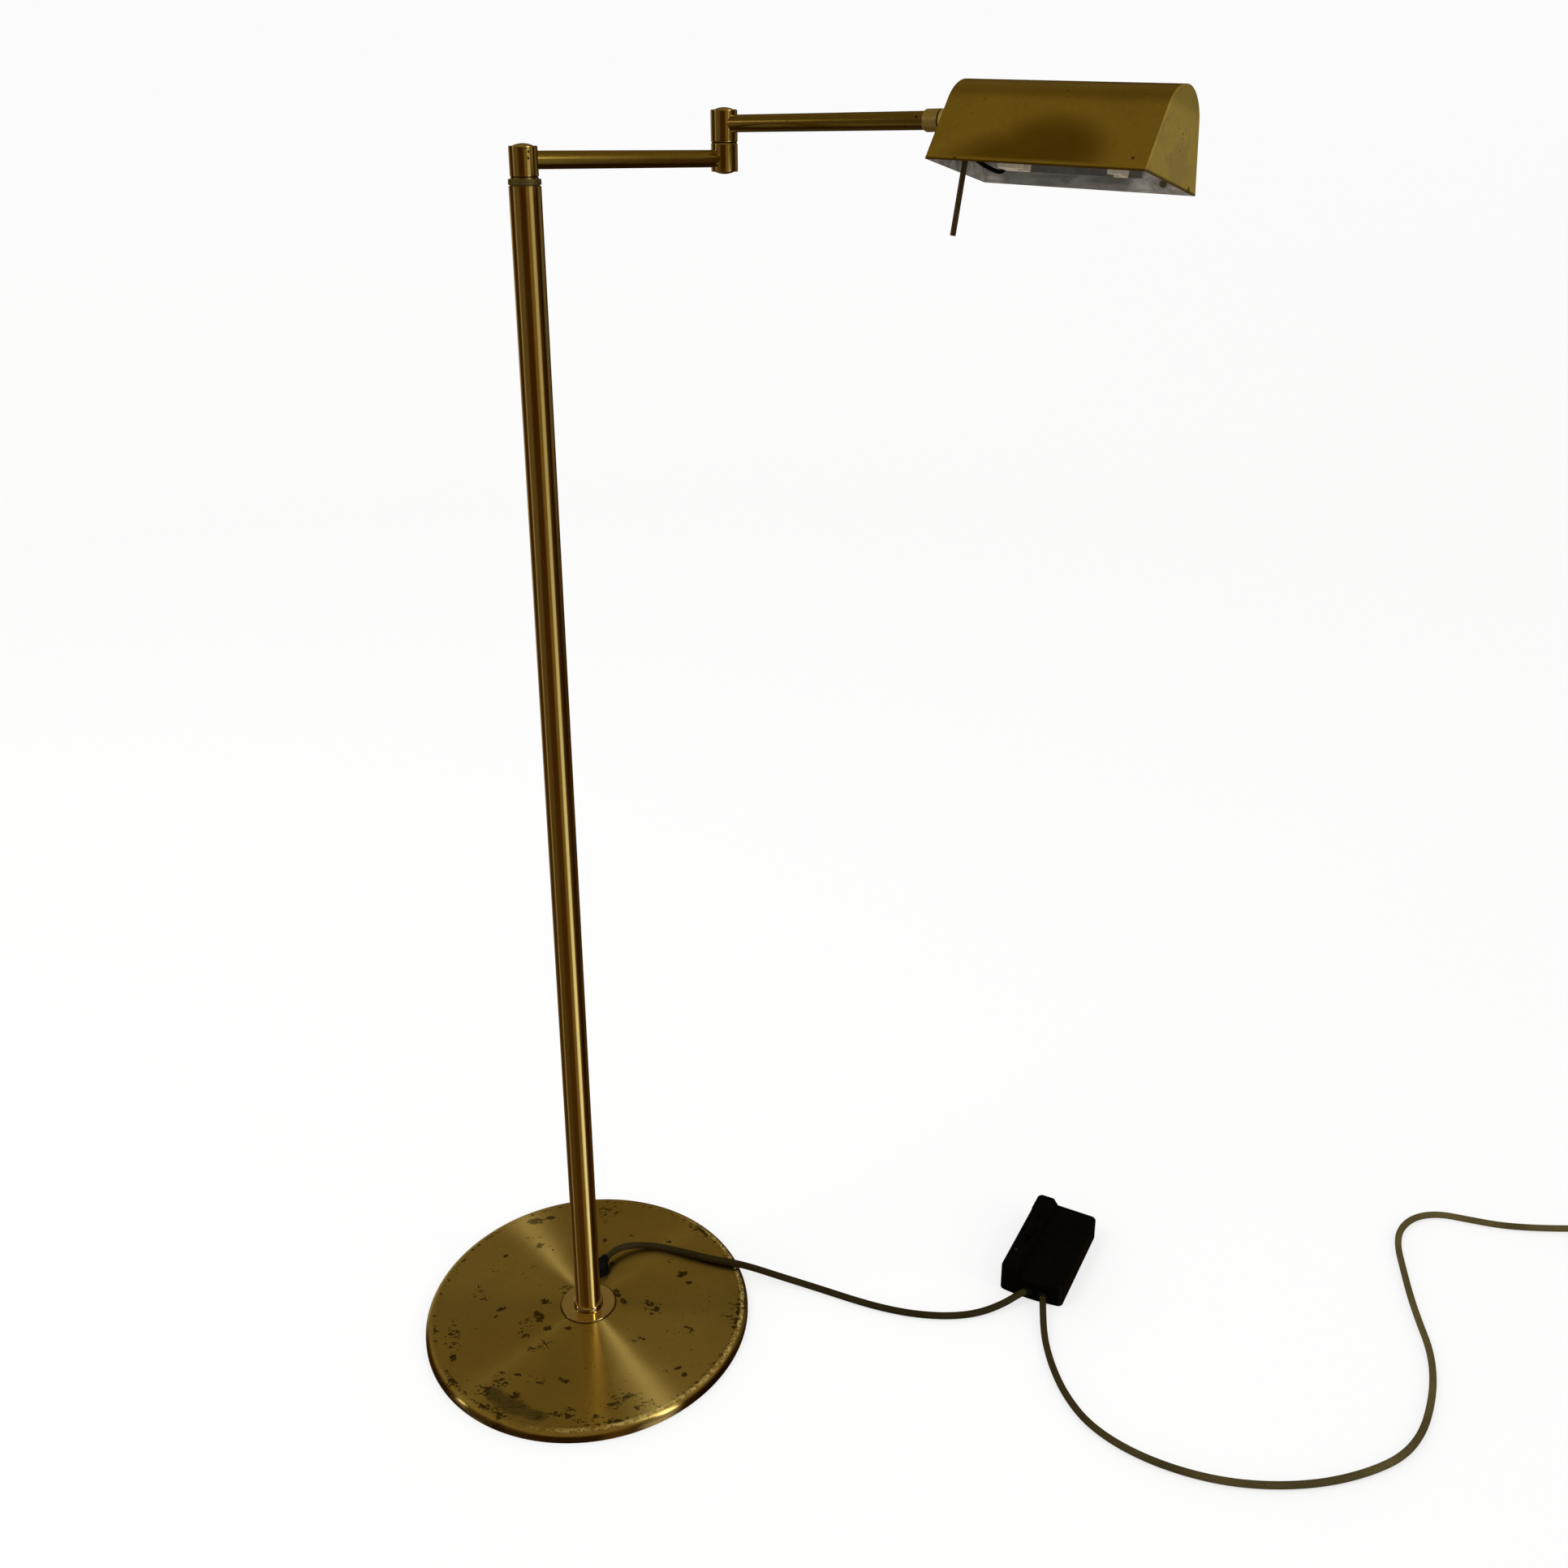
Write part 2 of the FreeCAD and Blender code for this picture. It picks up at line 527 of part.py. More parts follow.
def make_lower_arm():
    nipple, spring, nut = pivot_stack(POLE_KNUCKLE_FLOOR + KNUCKLE_FLOOR, INNER_TOP - PIVOT_DEPTH)
    save("pole_pivot_nipple", nipple)
    save("pole_pivot_fixings", spring, nut)
    save("pole_pivot_washer", cylinder(WASHER_RADIUS, INNER_TOP, POLE_KNUCKLE_FLOOR, PIVOT_RADIUS + RUNNING))
    save("pole_knuckle", knuckle(POLE_KNUCKLE_FLOOR, POLE_KNUCKLE_TOP, True, LOWER_AXIS, LOWER_ARM_HEADING))
    save("pole_knuckle_cap", knuckle_cap(POLE_KNUCKLE_TOP, True))

    tube = Part.makeCylinder(ARM_RADIUS, LOWER_ARM_REACH, V(0, 0, LOWER_AXIS), heading(LOWER_ARM_HEADING))
    bore = Part.makeCylinder(ARM_BORE, LOWER_ARM_REACH, V(0, 0, LOWER_AXIS), heading(LOWER_ARM_HEADING))
    near = cylinder(KNUCKLE_RADIUS, POLE_KNUCKLE_FLOOR, POLE_KNUCKLE_TOP)
    far = placed(near, FreeCAD.Placement(ELBOW, FreeCAD.Rotation()))
    save("lower_arm_tube", tube.cut(bore).cut(near).cut(far))

    at_elbow = FreeCAD.Placement(ELBOW, FreeCAD.Rotation())
    lower_knuckle = knuckle(ELBOW_BOTTOM, ELBOW_MIDDLE, False, LOWER_AXIS, LOWER_ARM_HEADING + 180)
    save("elbow_lower_knuckle", placed(lower_knuckle, at_elbow))
    save("elbow_lower_cap", placed(knuckle_cap(ELBOW_BOTTOM, False), at_elbow))
    lower_nut_top = ELBOW_MIDDLE - KNUCKLE_FLOOR
    nipple_bottom = lower_nut_top - PIVOT_NUT_HEIGHT - PIVOT_TAIL
    nipple, spring, nut = pivot_stack(UPPER_FLOOR + KNUCKLE_FLOOR, nipple_bottom)
    lower_nut = hexagon(PIVOT_NUT_ACROSS, lower_nut_top - PIVOT_NUT_HEIGHT, lower_nut_top,
                        PIVOT_RADIUS + SEAT)
    save("elbow_nipple", placed(nipple, at_elbow))
    save("elbow_fixings", placed(spring, at_elbow), placed(nut, at_elbow), placed(lower_nut, at_elbow))
    save("elbow_washer", placed(cylinder(WASHER_RADIUS, ELBOW_MIDDLE, UPPER_FLOOR, PIVOT_RADIUS + RUNNING),
                                at_elbow))


def make_upper_arm():
    at_elbow = FreeCAD.Placement(ELBOW, FreeCAD.Rotation())
    upper_knuckle = knuckle(UPPER_FLOOR, UPPER_TOP, True, UPPER_AXIS, UPPER_ARM_HEADING)
    save("elbow_upper_knuckle", placed(upper_knuckle, at_elbow))
    save("elbow_upper_cap", placed(knuckle_cap(UPPER_TOP, True), at_elbow))

    start = ELBOW + V(0, 0, UPPER_AXIS)
    tube_end = SLEEVE_END - SLEEVE_END_WALL
    tube = Part.makeCylinder(ARM_RADIUS, tube_end, start, UPPER_DIRECTION)
    bore = Part.makeCylinder(ARM_BORE, tube_end, start, UPPER_DIRECTION)
    post = placed(cylinder(KNUCKLE_RADIUS, UPPER_FLOOR, UPPER_TOP), at_elbow)
    save("upper_arm_tube", tube.cut(bore).cut(post))

    # Sleeve on the arm's end; its outer end is square to the drooping swivel axis
    soft = SLEEVE_ROUNDING
    bend = soft * math.sqrt(0.5)
    corner = SLEEVE_RADIUS - soft
    low, high = SLEEVE_START, SLEEVE_END + SWIVEL_GAP * 2
    profile = revolve([
        line((0, low), (corner, low)),
        arc((corner, low), (corner + bend, low + soft - bend), (SLEEVE_RADIUS, low + soft)),
        line((SLEEVE_RADIUS, low + soft), (SLEEVE_RADIUS, high)),
        line((SLEEVE_RADIUS, high), (0, high)),
        line((0, high), (0, low))])
    sleeve = placed(profile, along(start, UPPER_DIRECTION))
    beyond = Part.makeBox(SLEEVE_RADIUS * 4, SLEEVE_RADIUS * 4, SLEEVE_RADIUS * 4,
                          V(-SWIVEL_GAP / 2, -SLEEVE_RADIUS * 2, -SLEEVE_RADIUS * 2))
    nipple_hole = Part.makeCylinder(PIVOT_RADIUS + SEAT, SLEEVE_END_WALL * 3, V(-SLEEVE_END_WALL * 2, 0, 0),
                                    V(1, 0, 0))
    socket = Part.makeCylinder(ARM_RADIUS + SEAT, tube_end, start, UPPER_DIRECTION)
    sleeve = sleeve.cut(placed(beyond, SWIVEL_PLACE)).cut(socket).cut(placed(nipple_hole, SWIVEL_PLACE))
    save("swivel_sleeve", sleeve)

    # Hollow swivel pivot through the shade's boss, with its spring and nut inside the shade
    seat = SWIVEL_GAP / 2 + SHADE_BOSS_LENGTH + CAP_SHEET + RUNNING
    start_back = -SWIVEL_GAP / 2 - SLEEVE_END_WALL + PIVOT_INSET
    length = seat + PIVOT_SPRING + PIVOT_NUT_HEIGHT + PIVOT_TAIL - start_back
    nipple = Part.makeCylinder(PIVOT_RADIUS, length, V(start_back, 0, 0), V(1, 0, 0))
    nipple = nipple.cut(Part.makeCylinder(PIVOT_BORE, length, V(start_back, 0, 0), V(1, 0, 0)))
    save("swivel_nipple", placed(nipple, SWIVEL_PLACE))
    on_axis = SWIVEL_PLACE.multiply(along(V(0, 0, 0), V(1, 0, 0)))
    spring = cylinder(PIVOT_SPRING_RADIUS, seat, seat + PIVOT_SPRING, PIVOT_RADIUS + SEAT)
    nut_bottom = seat + PIVOT_SPRING
    nut = hexagon(PIVOT_NUT_ACROSS, nut_bottom, nut_bottom + PIVOT_NUT_HEIGHT, PIVOT_RADIUS + SEAT)
    save("swivel_fixings", placed(spring, on_axis), placed(nut, on_axis))
    washer = cylinder(SWIVEL_WASHER_RADIUS, -SWIVEL_GAP / 2, SWIVEL_GAP / 2 - RUNNING, PIVOT_RADIUS + RUNNING)
    save("swivel_washer", placed(washer, on_axis))


def tangent_angle(corner, centre, radius, side):
    across = corner[0] - centre[0]
    rise = corner[1] - centre[1]
    return math.atan2(rise, across) + side * math.acos(radius / math.hypot(across, rise))


def trough_leg(inset):
    # Lean of the straight leg and the point where it leaves the rounded top, in the shade's Y and Z
    radius = SHADE_ARC_RADIUS - inset
    lean = tangent_angle((SHADE_HALF_WIDTH, SHADE_EDGE), (0.0, SHADE_ARC_CENTRE), SHADE_ARC_RADIUS, 1)
    return lean, radius * math.cos(lean), SHADE_ARC_CENTRE + radius * math.sin(lean)


def leg_across(inset, height):
    lean, touch_y, touch_z = trough_leg(inset)
    return touch_y + (touch_z - height) * math.tan(lean)


def trough_wire(inset, edge_height):
    lean, touch_y, touch_z = trough_leg(inset)
    foot = leg_across(inset, edge_height)
    left_foot, left_touch = V(0, -foot, edge_height), V(0, -touch_y, touch_z)
    right_foot, right_touch = V(0, foot, edge_height), V(0, touch_y, touch_z)
    crown = V(0, 0, SHADE_ARC_CENTRE + SHADE_ARC_RADIUS - inset)
    return Part.Wire([Part.LineSegment(left_foot, left_touch).toShape(),
                      Part.Arc(left_touch, crown, right_touch).toShape(),
                      Part.LineSegment(right_touch, right_foot).toShape(),
                      Part.LineSegment(right_foot, left_foot).toShape()])


def trough_solid(inset, edge_height, start, length):
    face = Part.Face(trough_wire(inset, edge_height))
    solid = face.extrude(V(length, 0, 0))
    solid.translate(V(start, 0, 0))
    return solid


def box(x, y, z, low_x, mid_y, low_z):
    return Part.makeBox(x, y, z, V(low_x, mid_y - y / 2, low_z))


def make_shade():
    # Boss on the left end cap, the same size as the arm's sleeve
    on_axis = FreeCAD.Placement(V(0, 0, 0), FreeCAD.Rotation(UP, V(1, 0, 0)))
    pivot_hole = PIVOT_RADIUS + RUNNING
    boss = placed(cylinder(SLEEVE_RADIUS, -SHADE_BOSS_LENGTH, 0, pivot_hole), on_axis)
    save("shade_boss", placed(boss, SHADE_PLACE))

    span = SHADE_LENGTH - 2 * CAP_SHEET
    below = SHADE_EDGE * 1.2
    outer = trough_solid(0, SHADE_EDGE, CAP_SHEET, span)
    shell = outer.cut(trough_solid(SHADE_SHEET, below, CAP_SHEET, span))
    save("shade_shell", placed(shell, SHADE_PLACE))

    plate = trough_solid(0, SHADE_EDGE, 0, CAP_SHEET)
    hole = Part.makeCylinder(pivot_hole, CAP_SHEET, V(0, 0, 0), V(1, 0, 0))
    save("shade_cap_left", placed(plate.cut(hole), SHADE_PLACE))
    far_plate = trough_solid(0, SHADE_EDGE, SHADE_LENGTH - CAP_SHEET, CAP_SHEET)
    save("shade_cap_right", placed(far_plate, SHADE_PLACE))

    # Bent reflector with flared ends, hung from a strip that runs from cap to cap
    inner = SHADE_SHEET + REFLECTOR_GAP
    reflector = trough_solid(inner, REFLECTOR_EDGE, REFLECTOR_START, REFLECTOR_LENGTH)
    reflector = reflector.cut(trough_solid(inner + REFLECTOR_SHEET, below, REFLECTOR_START, REFLECTOR_LENGTH))
    crown = SHADE_ARC_RADIUS + SHADE_ARC_CENTRE
    side = -SHADE_HALF_WIDTH
    for end, inward in ((REFLECTOR_START, 1), (REFLECTOR_START + REFLECTOR_LENGTH, -1)):
        wedge = Part.makePolygon([V(end, side, REFLECTOR_EDGE), V(end, side, crown),
                                  V(end + inward * REFLECTOR_FLARE, side, crown), V(end, side, REFLECTOR_EDGE)])
        reflector = reflector.cut(Part.Face(wedge).extrude(V(0, SHADE_HALF_WIDTH * 2, 0)))
    save("reflector", placed(reflector, SHADE_PLACE))

    strip_top = SHADE_ARC_CENTRE + SHADE_ARC_RADIUS - inner - REFLECTOR_SHEET - BRACKET_DROP
    strip = box(span, BRACKET_WIDTH, BRACKET_SHEET, CAP_SHEET, 0, strip_top - BRACKET_HEIGHT)
    for end in (CAP_SHEET, SHADE_LENGTH - CAP_SHEET - BRACKET_SHEET):
        strip = strip.fuse(box(BRACKET_SHEET, BRACKET_WIDTH, BRACKET_HEIGHT, end, 0,
                               strip_top - BRACKET_HEIGHT))
    around_pivot = Part.makeCylinder(PIVOT_SPRING_RADIUS + BRACKET_CLEARANCE, BRACKET_HEIGHT, V(0, 0, 0),
                                     V(1, 0, 0))
    strip = strip.cut(around_pivot)
    strip_bottom = strip_top - BRACKET_HEIGHT
    near_holder = LAMP_CENTRE - LAMP_GAP / 2 - HOLDER_LENGTH / 2
    far_holder = LAMP_CENTRE + LAMP_GAP / 2 + FAR_HOLDER_LENGTH / 2
    for x in (near_holder, far_holder):
        strip = strip.fuse(box(POST_WIDTH, POST_WIDTH, strip_bottom - HOLDER_TOP, x - POST_WIDTH / 2, 0,
                               HOLDER_TOP))
    roof = SHADE_ARC_RADIUS - inner - REFLECTOR_SHEET
    roof_corner = SHADE_ARC_CENTRE + math.sqrt(roof ** 2 - (POST_WIDTH / 2) ** 2)
    for x in (near_holder, REFLECTOR_POST):
        strip = strip.fuse(box(POST_WIDTH, POST_WIDTH, roof_corner - strip_bottom, x - POST_WIDTH / 2, 0,
                               strip_bottom))
    save("lamp_bracket", placed(strip.removeSplitter(), SHADE_PLACE))

    # Small screws on the inside of the two legs near the right end
    lean, _, _ = trough_leg(SHADE_SHEET)
    across = leg_across(SHADE_SHEET, WALL_SCREW_HEIGHT)
    screws = []
    for side in (-1, 1):
        inward = V(0, -side * math.cos(lean), -math.sin(lean))
        spot = V(SHADE_LENGTH - WALL_SCREW_INSET, side * across, WALL_SCREW_HEIGHT)
        screws.append(placed(Part.makeCylinder(WALL_SCREW_RADIUS, WALL_SCREW_HEAD, spot, inward), SHADE_PLACE))
    save("shade_screws", *screws)

    make_lamp()

    lug_bottom = ROD_TOP - ROD_LUG
    rod = Part.makeCylinder(ROD_RADIUS, ROD_TOP - ROD_BOTTOM, V(ROD_OFFSET, 0, ROD_BOTTOM))
    lug_reach = ROD_OFFSET + ROD_RADIUS + ROD_LUG_WALL - CAP_SHEET
    lug = box(lug_reach, ROD_LUG, ROD_LUG, CAP_SHEET, 0, lug_bottom)
    lug = lug.cut(Part.makeCylinder(ROD_RADIUS + SEAT, ROD_LUG, V(ROD_OFFSET, 0, lug_bottom)))
    save("rod_handle", placed(rod, SHADE_PLACE))
    save("rod_lug", placed(lug, SHADE_PLACE))


def make_lamp():
    # Ceramic end holders and the double-ended tube lamp between them
    holders = []
    recess_depth = LAMP_NECK_LENGTH + LAMP_END_CLEARANCE
    for sign, length in ((-1, HOLDER_LENGTH), (1, FAR_HOLDER_LENGTH)):
        face = LAMP_CENTRE + sign * LAMP_GAP / 2
        low = face - length if sign < 0 else face
        block = box(length, HOLDER_WIDTH, HOLDER_TOP - HOLDER_BOTTOM, low, 0, HOLDER_BOTTOM)
        recess = Part.makeCylinder(LAMP_NECK_RADIUS + LAMP_END_CLEARANCE, recess_depth,
                                   V(face, 0, LAMP_HEIGHT), V(sign, 0, 0))
        way_in = box(recess_depth, (LAMP_NECK_RADIUS + LAMP_END_CLEARANCE) * 2, LAMP_HEIGHT - HOLDER_BOTTOM,
                     face if sign > 0 else face - recess_depth, 0, HOLDER_BOTTOM)
        holders.append(placed(block.cut(recess).cut(way_in), SHADE_PLACE))
    save("lamp_holders", *holders)

    bulb_half = LAMP_GAP / 2 - LAMP_END_CLEARANCE
    lamp = Part.makeCylinder(LAMP_RADIUS, bulb_half * 2, V(LAMP_CENTRE - bulb_half, 0, LAMP_HEIGHT), V(1, 0, 0))
    neck_half = LAMP_GAP / 2 + LAMP_NECK_LENGTH
    necks = Part.makeCylinder(LAMP_NECK_RADIUS, neck_half * 2, V(LAMP_CENTRE - neck_half, 0, LAMP_HEIGHT),
                              V(1, 0, 0))
    save("halogen_lamp", placed(lamp.fuse(necks).removeSplitter(), SHADE_PLACE))

    # Black sleeved lead from the left cap to the back of the near holder
    back = LAMP_CENTRE - LAMP_GAP / 2 - HOLDER_LENGTH
    start, end = V(CAP_SHEET, *LEAD_AT_CAP), V(back, *LEAD_AT_HOLDER)
    way = end - start
    longer = way.normalize() * (LEAD_RADIUS * 2)
    lead = Part.makeCylinder(LEAD_RADIUS, (end - start).Length + 2 * longer.Length, start - longer, longer)
    between = box(back - CAP_SHEET, SHADE_HALF_WIDTH * 2, SHADE_HALF_WIDTH * 2, CAP_SHEET, 0, SHADE_EDGE * 2)
    save("lamp_lead", placed(lead.common(between), SHADE_PLACE))


DIMMER_PLACE = FreeCAD.Placement(V(DIMMER_X, DIMMER_Y, 0), FreeCAD.Rotation(UP, DIMMER_HEADING))


def dimmer_plan(inset, height):
    # Plan outline of the dimmer box: rounded corners, and a bowed, slightly skewed cord end
    x = DIMMER_LENGTH / 2 - inset
    y = DIMMER_WIDTH / 2 - inset
    r = DIMMER_CORNER - inset / 2
    k = r * (1 - math.sqrt(0.5))
    left, right = -x, -x + DIMMER_SKEW
    middle = (left + right) / 2 - DIMMER_BULGE
    edges = [
        Part.LineSegment(V(right + r, -y, height), V(x - r, -y, height)).toShape(),
        Part.Arc(V(x - r, -y, height), V(x - k, -y + k, height), V(x, -y + r, height)).toShape(),
        Part.LineSegment(V(x, -y + r, height), V(x, y - r, height)).toShape(),
        Part.Arc(V(x, y - r, height), V(x - k, y - k, height), V(x - r, y, height)).toShape(),
        Part.LineSegment(V(x - r, y, height), V(left + r, y, height)).toShape(),
        Part.Arc(V(left + r, y, height), V(left + k, y - k, height), V(left, y - r, height)).toShape(),
        Part.Arc(V(left, y - r, height), V(middle, 0, height), V(right, -y + r, height)).toShape(),
        Part.Arc(V(right, -y + r, height), V(right + k, -y + k, height), V(right + r, -y, height)).toShape()]
    return Part.Wire(edges)


def dimmer_block(inset, low, high):
    return Part.Face(dimmer_plan(inset, low)).extrude(V(0, 0, high - low))


def ridge_hollow(inset, low, high):
    width = DIMMER_RIDGE_WIDTH - DIMMER_RIDGE_SLANT - inset
    keep = Part.makeBox(DIMMER_LENGTH * 2, width, high - low, V(-DIMMER_LENGTH, DIMMER_WIDTH / 2 - width, low))
    return dimmer_block(inset, low, high).common(keep)


def prism(points, way):
    return Part.Face(Part.makePolygon(points + points[:1])).extrude(way)


def ridge():
    # Raised strip with a slanted inner side, and a higher block at its far end
    outer, foot = DIMMER_WIDTH / 2, DIMMER_WIDTH / 2 - DIMMER_RIDGE_WIDTH
    lean = DIMMER_RIDGE_SLANT / (DIMMER_RIDGE_HEIGHT - DIMMER_HEIGHT)
    strips = []
    for start, top in ((-DIMMER_LENGTH, DIMMER_RIDGE_HEIGHT), (-DIMMER_LENGTH, DIMMER_BLOCK_HEIGHT)):
        crest = foot + lean * (top - DIMMER_HEIGHT)
        strips.append(prism([V(start, foot, DIMMER_SPLIT), V(start, outer, DIMMER_SPLIT), V(start, outer, top),
                             V(start, crest, top), V(start, foot, DIMMER_HEIGHT)], V(DIMMER_LENGTH * 2, 0, 0)))
    low = DIMMER_LENGTH / 2 - DIMMER_BLOCK_LENGTH
    end = DIMMER_LENGTH
    block = prism([V(low, foot, DIMMER_SPLIT), V(low, foot, DIMMER_RIDGE_HEIGHT),
                   V(low + DIMMER_BLOCK_SLANT, foot, DIMMER_BLOCK_HEIGHT), V(end, foot, DIMMER_BLOCK_HEIGHT),
                   V(end, foot, DIMMER_SPLIT)], V(0, DIMMER_RIDGE_WIDTH, 0))
    body = dimmer_block(0, DIMMER_SPLIT, DIMMER_BLOCK_HEIGHT)
    return body.common(strips[0].fuse(strips[1].common(block)))


def bush_direction(slant):
    return heading(180 + slant)


def bush_point(side, outward, slant):
    wall = V(-DIMMER_LENGTH / 2 + DIMMER_WALL / 2, side, BUSH_HEIGHT)
    return wall + bush_direction(slant) * outward


def make_dimmer():
    floor = DIMMER_FOOT
    bottom = dimmer_block(0, floor, DIMMER_SPLIT)
    bottom = bottom.cut(dimmer_block(DIMMER_WALL, floor + DIMMER_WALL, DIMMER_SPLIT))
    top = dimmer_block(0, DIMMER_SPLIT, DIMMER_HEIGHT).fuse(ridge()).removeSplitter()
    top = soften(top, DIMMER_HEIGHT, DIMMER_RIDGE_HEIGHT, DIMMER_BLOCK_HEIGHT)
    hollow = dimmer_block(DIMMER_WALL, DIMMER_SPLIT, DIMMER_HEIGHT - DIMMER_WALL)
    hollow = hollow.fuse(ridge_hollow(DIMMER_WALL, DIMMER_SPLIT, DIMMER_RIDGE_HEIGHT - DIMMER_WALL))
    top = top.cut(hollow)

    bushes = []
    for side, slant in ((CORD_1_SIDE, CORD_1_SLANT), (CORD_2_SIDE, CORD_2_SLANT)):
        inside = BUSH_LENGTH - BUSH_OUTSIDE
        bush = Part.makeCylinder(BUSH_RADIUS, BUSH_LENGTH, bush_point(side, -inside, slant),
                                 bush_direction(slant))
        hole = Part.makeCylinder(BUSH_RADIUS + SEAT, BUSH_LENGTH * 2,
                                 bush_point(side, -inside - BUSH_LENGTH / 2, slant), bush_direction(slant))
        bottom = bottom.cut(hole)
        top = top.cut(hole)
        bushes.append(placed(bush, DIMMER_PLACE))

    # Slot in the ridge for the slider's stem, and the hole of the neon lens
    slider_line, lens_line = DIMMER_WIDTH / 2 - SLIDER_SIDE, DIMMER_WIDTH / 2 - LENS_SIDE
    slot_low = SLIDER_START - SLIDER_BACK - SLIDER_STEM
    slot_high = SLIDER_START + SLIDER_FORTH + SLIDER_STEM
    under_roof = DIMMER_RIDGE_HEIGHT - DIMMER_WALL
    top = top.cut(box(slot_high - slot_low, SLIDER_SLOT, DIMMER_WALL * 2, slot_low, slider_line,
                      under_roof - DIMMER_WALL / 2))
    top = top.cut(Part.makeCylinder(LENS_RADIUS + SEAT, DIMMER_WALL * 2,
                                    V(LENS_PLACE, lens_line, under_roof - DIMMER_WALL / 2)))
    lens = Part.makeCylinder(LENS_RADIUS, DIMMER_WALL + LENS_RISE, V(LENS_PLACE, lens_line, under_roof))
    save("dimmer_lens", placed(lens, DIMMER_PLACE))

    # Four screws from below into bosses of the cover, and four feet
    inner_floor = floor + DIMMER_WALL
    screws, feet = [], []
    for sx in (-1, 1):
        for sy in (-1, 1):
            spot = V(sx * (DIMMER_LENGTH / 2 - SCREW_INSET_X), sy * (DIMMER_WIDTH / 2 - SCREW_INSET_Y), 0)
            roof = under_roof if sy > 0 else DIMMER_HEIGHT - DIMMER_WALL
            under = spot + V(0, 0, floor)
            shaft = Part.makeCylinder(SCREW_RADIUS, SCREW_LENGTH, under)
            head = Part.makeCylinder(SCREW_HEAD_RADIUS, SCREW_HEAD_HEIGHT, under)
            bore = Part.makeCylinder(SCREW_RADIUS + SEAT, SCREW_LENGTH + 1, under)
            sink = Part.makeCylinder(SCREW_HEAD_RADIUS + SEAT, SCREW_HEAD_HEIGHT, under)
            boss = Part.makeCylinder(SCREW_BOSS, roof - inner_floor, spot + V(0, 0, inner_floor))
            top = top.fuse(boss).cut(bore)
            bottom = bottom.cut(sink).cut(bore)
            screws.append(placed(shaft.fuse(head).removeSplitter(), DIMMER_PLACE))
            foot = Part.makeCylinder(FOOT_RADIUS, floor, spot - V(sx * FOOT_INSET, 0, 0))
            feet.append(placed(foot, DIMMER_PLACE))
    save("dimmer_top", placed(top, DIMMER_PLACE))
    save("dimmer_bottom", placed(bottom, DIMMER_PLACE))
    save("dimmer_screws", *screws)
    save("dimmer_feet", *feet)
    save("dimmer_bushes", *bushes)

    # Circuit board on two pillars, with its round part, and the slider's track on it
    board_end = DIMMER_LENGTH / 2 - SCREW_INSET_X - SCREW_BOSS - BOARD_GAP
    board_top = BOARD_HEIGHT + BOARD_SHEET
    board = box(board_end * 2 - BOARD_BACK_GAP, DIMMER_WIDTH - BOARD_SIDE_GAP * 2, BOARD_SHEET,
                BOARD_BACK_GAP - board_end, 0, BOARD_HEIGHT)
    board = board.fuse(Part.makeCylinder(CHOKE_RADIUS, CHOKE_HEIGHT, V(*CHOKE_PLACE, board_top)))
    for x in (-BOARD_PILLAR_PLACE, BOARD_PILLAR_PLACE):
        board = board.fuse(Part.makeCylinder(BOARD_PILLAR_RADIUS, BOARD_HEIGHT - inner_floor, V(x, 0, inner_floor)))
    save("dimmer_board", placed(board.removeSplitter(), DIMMER_PLACE))
    track_high = under_roof - TRACK_DROP
    track = box(slot_high - slot_low + 2 * TRACK_WALL, TRACK_WIDTH, track_high - board_top, slot_low - TRACK_WALL,
                slider_line, board_top)
    groove = box(slot_high - slot_low, SLIDER_SLOT, TRACK_WALL, slot_low, slider_line, track_high - TRACK_WALL)
    save("dimmer_track", placed(track.cut(groove), DIMMER_PLACE))

    knob_low = DIMMER_RIDGE_HEIGHT + SLIDER_LIFT
    knob_top = knob_low + SLIDER_RISE
    knob = box(SLIDER_LENGTH, SLIDER_WIDTH, SLIDER_RISE, SLIDER_START - SLIDER_LENGTH / 2, slider_line, knob_low)
    knob = knob.makeFillet(SLIDER_ROUNDING, [e for e in knob.Edges if e.BoundBox.ZMin > knob_top - 0.01])
    stem_low = track_high - SLIDER_STEM_DEPTH
    stem = box(SLIDER_STEM, SLIDER_SLOT - SLIDER_PLAY, knob_low - stem_low, SLIDER_START - SLIDER_STEM / 2,
               slider_line, stem_low)
    save("dimmer_slider", placed(knob.fuse(stem).removeSplitter(), DIMMER_PLACE))


def soften(top, *heights):
    # Round the cover's level upper edges, apart from the feet of the ridge and of its block
    ridge_foot = DIMMER_WIDTH / 2 - DIMMER_RIDGE_WIDTH
    block_foot = DIMMER_LENGTH / 2 - DIMMER_BLOCK_LENGTH
    picked = []
    for edge in top.Edges:
        middle = edge.CenterOfMass
        level = edge.BoundBox.ZLength < 0.001 and any(abs(middle.z - height) < 0.001 for height in heights)
        at_ridge = abs(middle.z - DIMMER_HEIGHT) < 0.001 and abs(middle.y - ridge_foot) < 0.01
        at_block = abs(middle.z - DIMMER_RIDGE_HEIGHT) < 0.001 and abs(middle.x - block_foot) < 0.01
        if level and not at_ridge and not at_block:
            picked.append(edge)
    return top.makeFillet(DIMMER_EDGE_ROUNDING, picked)


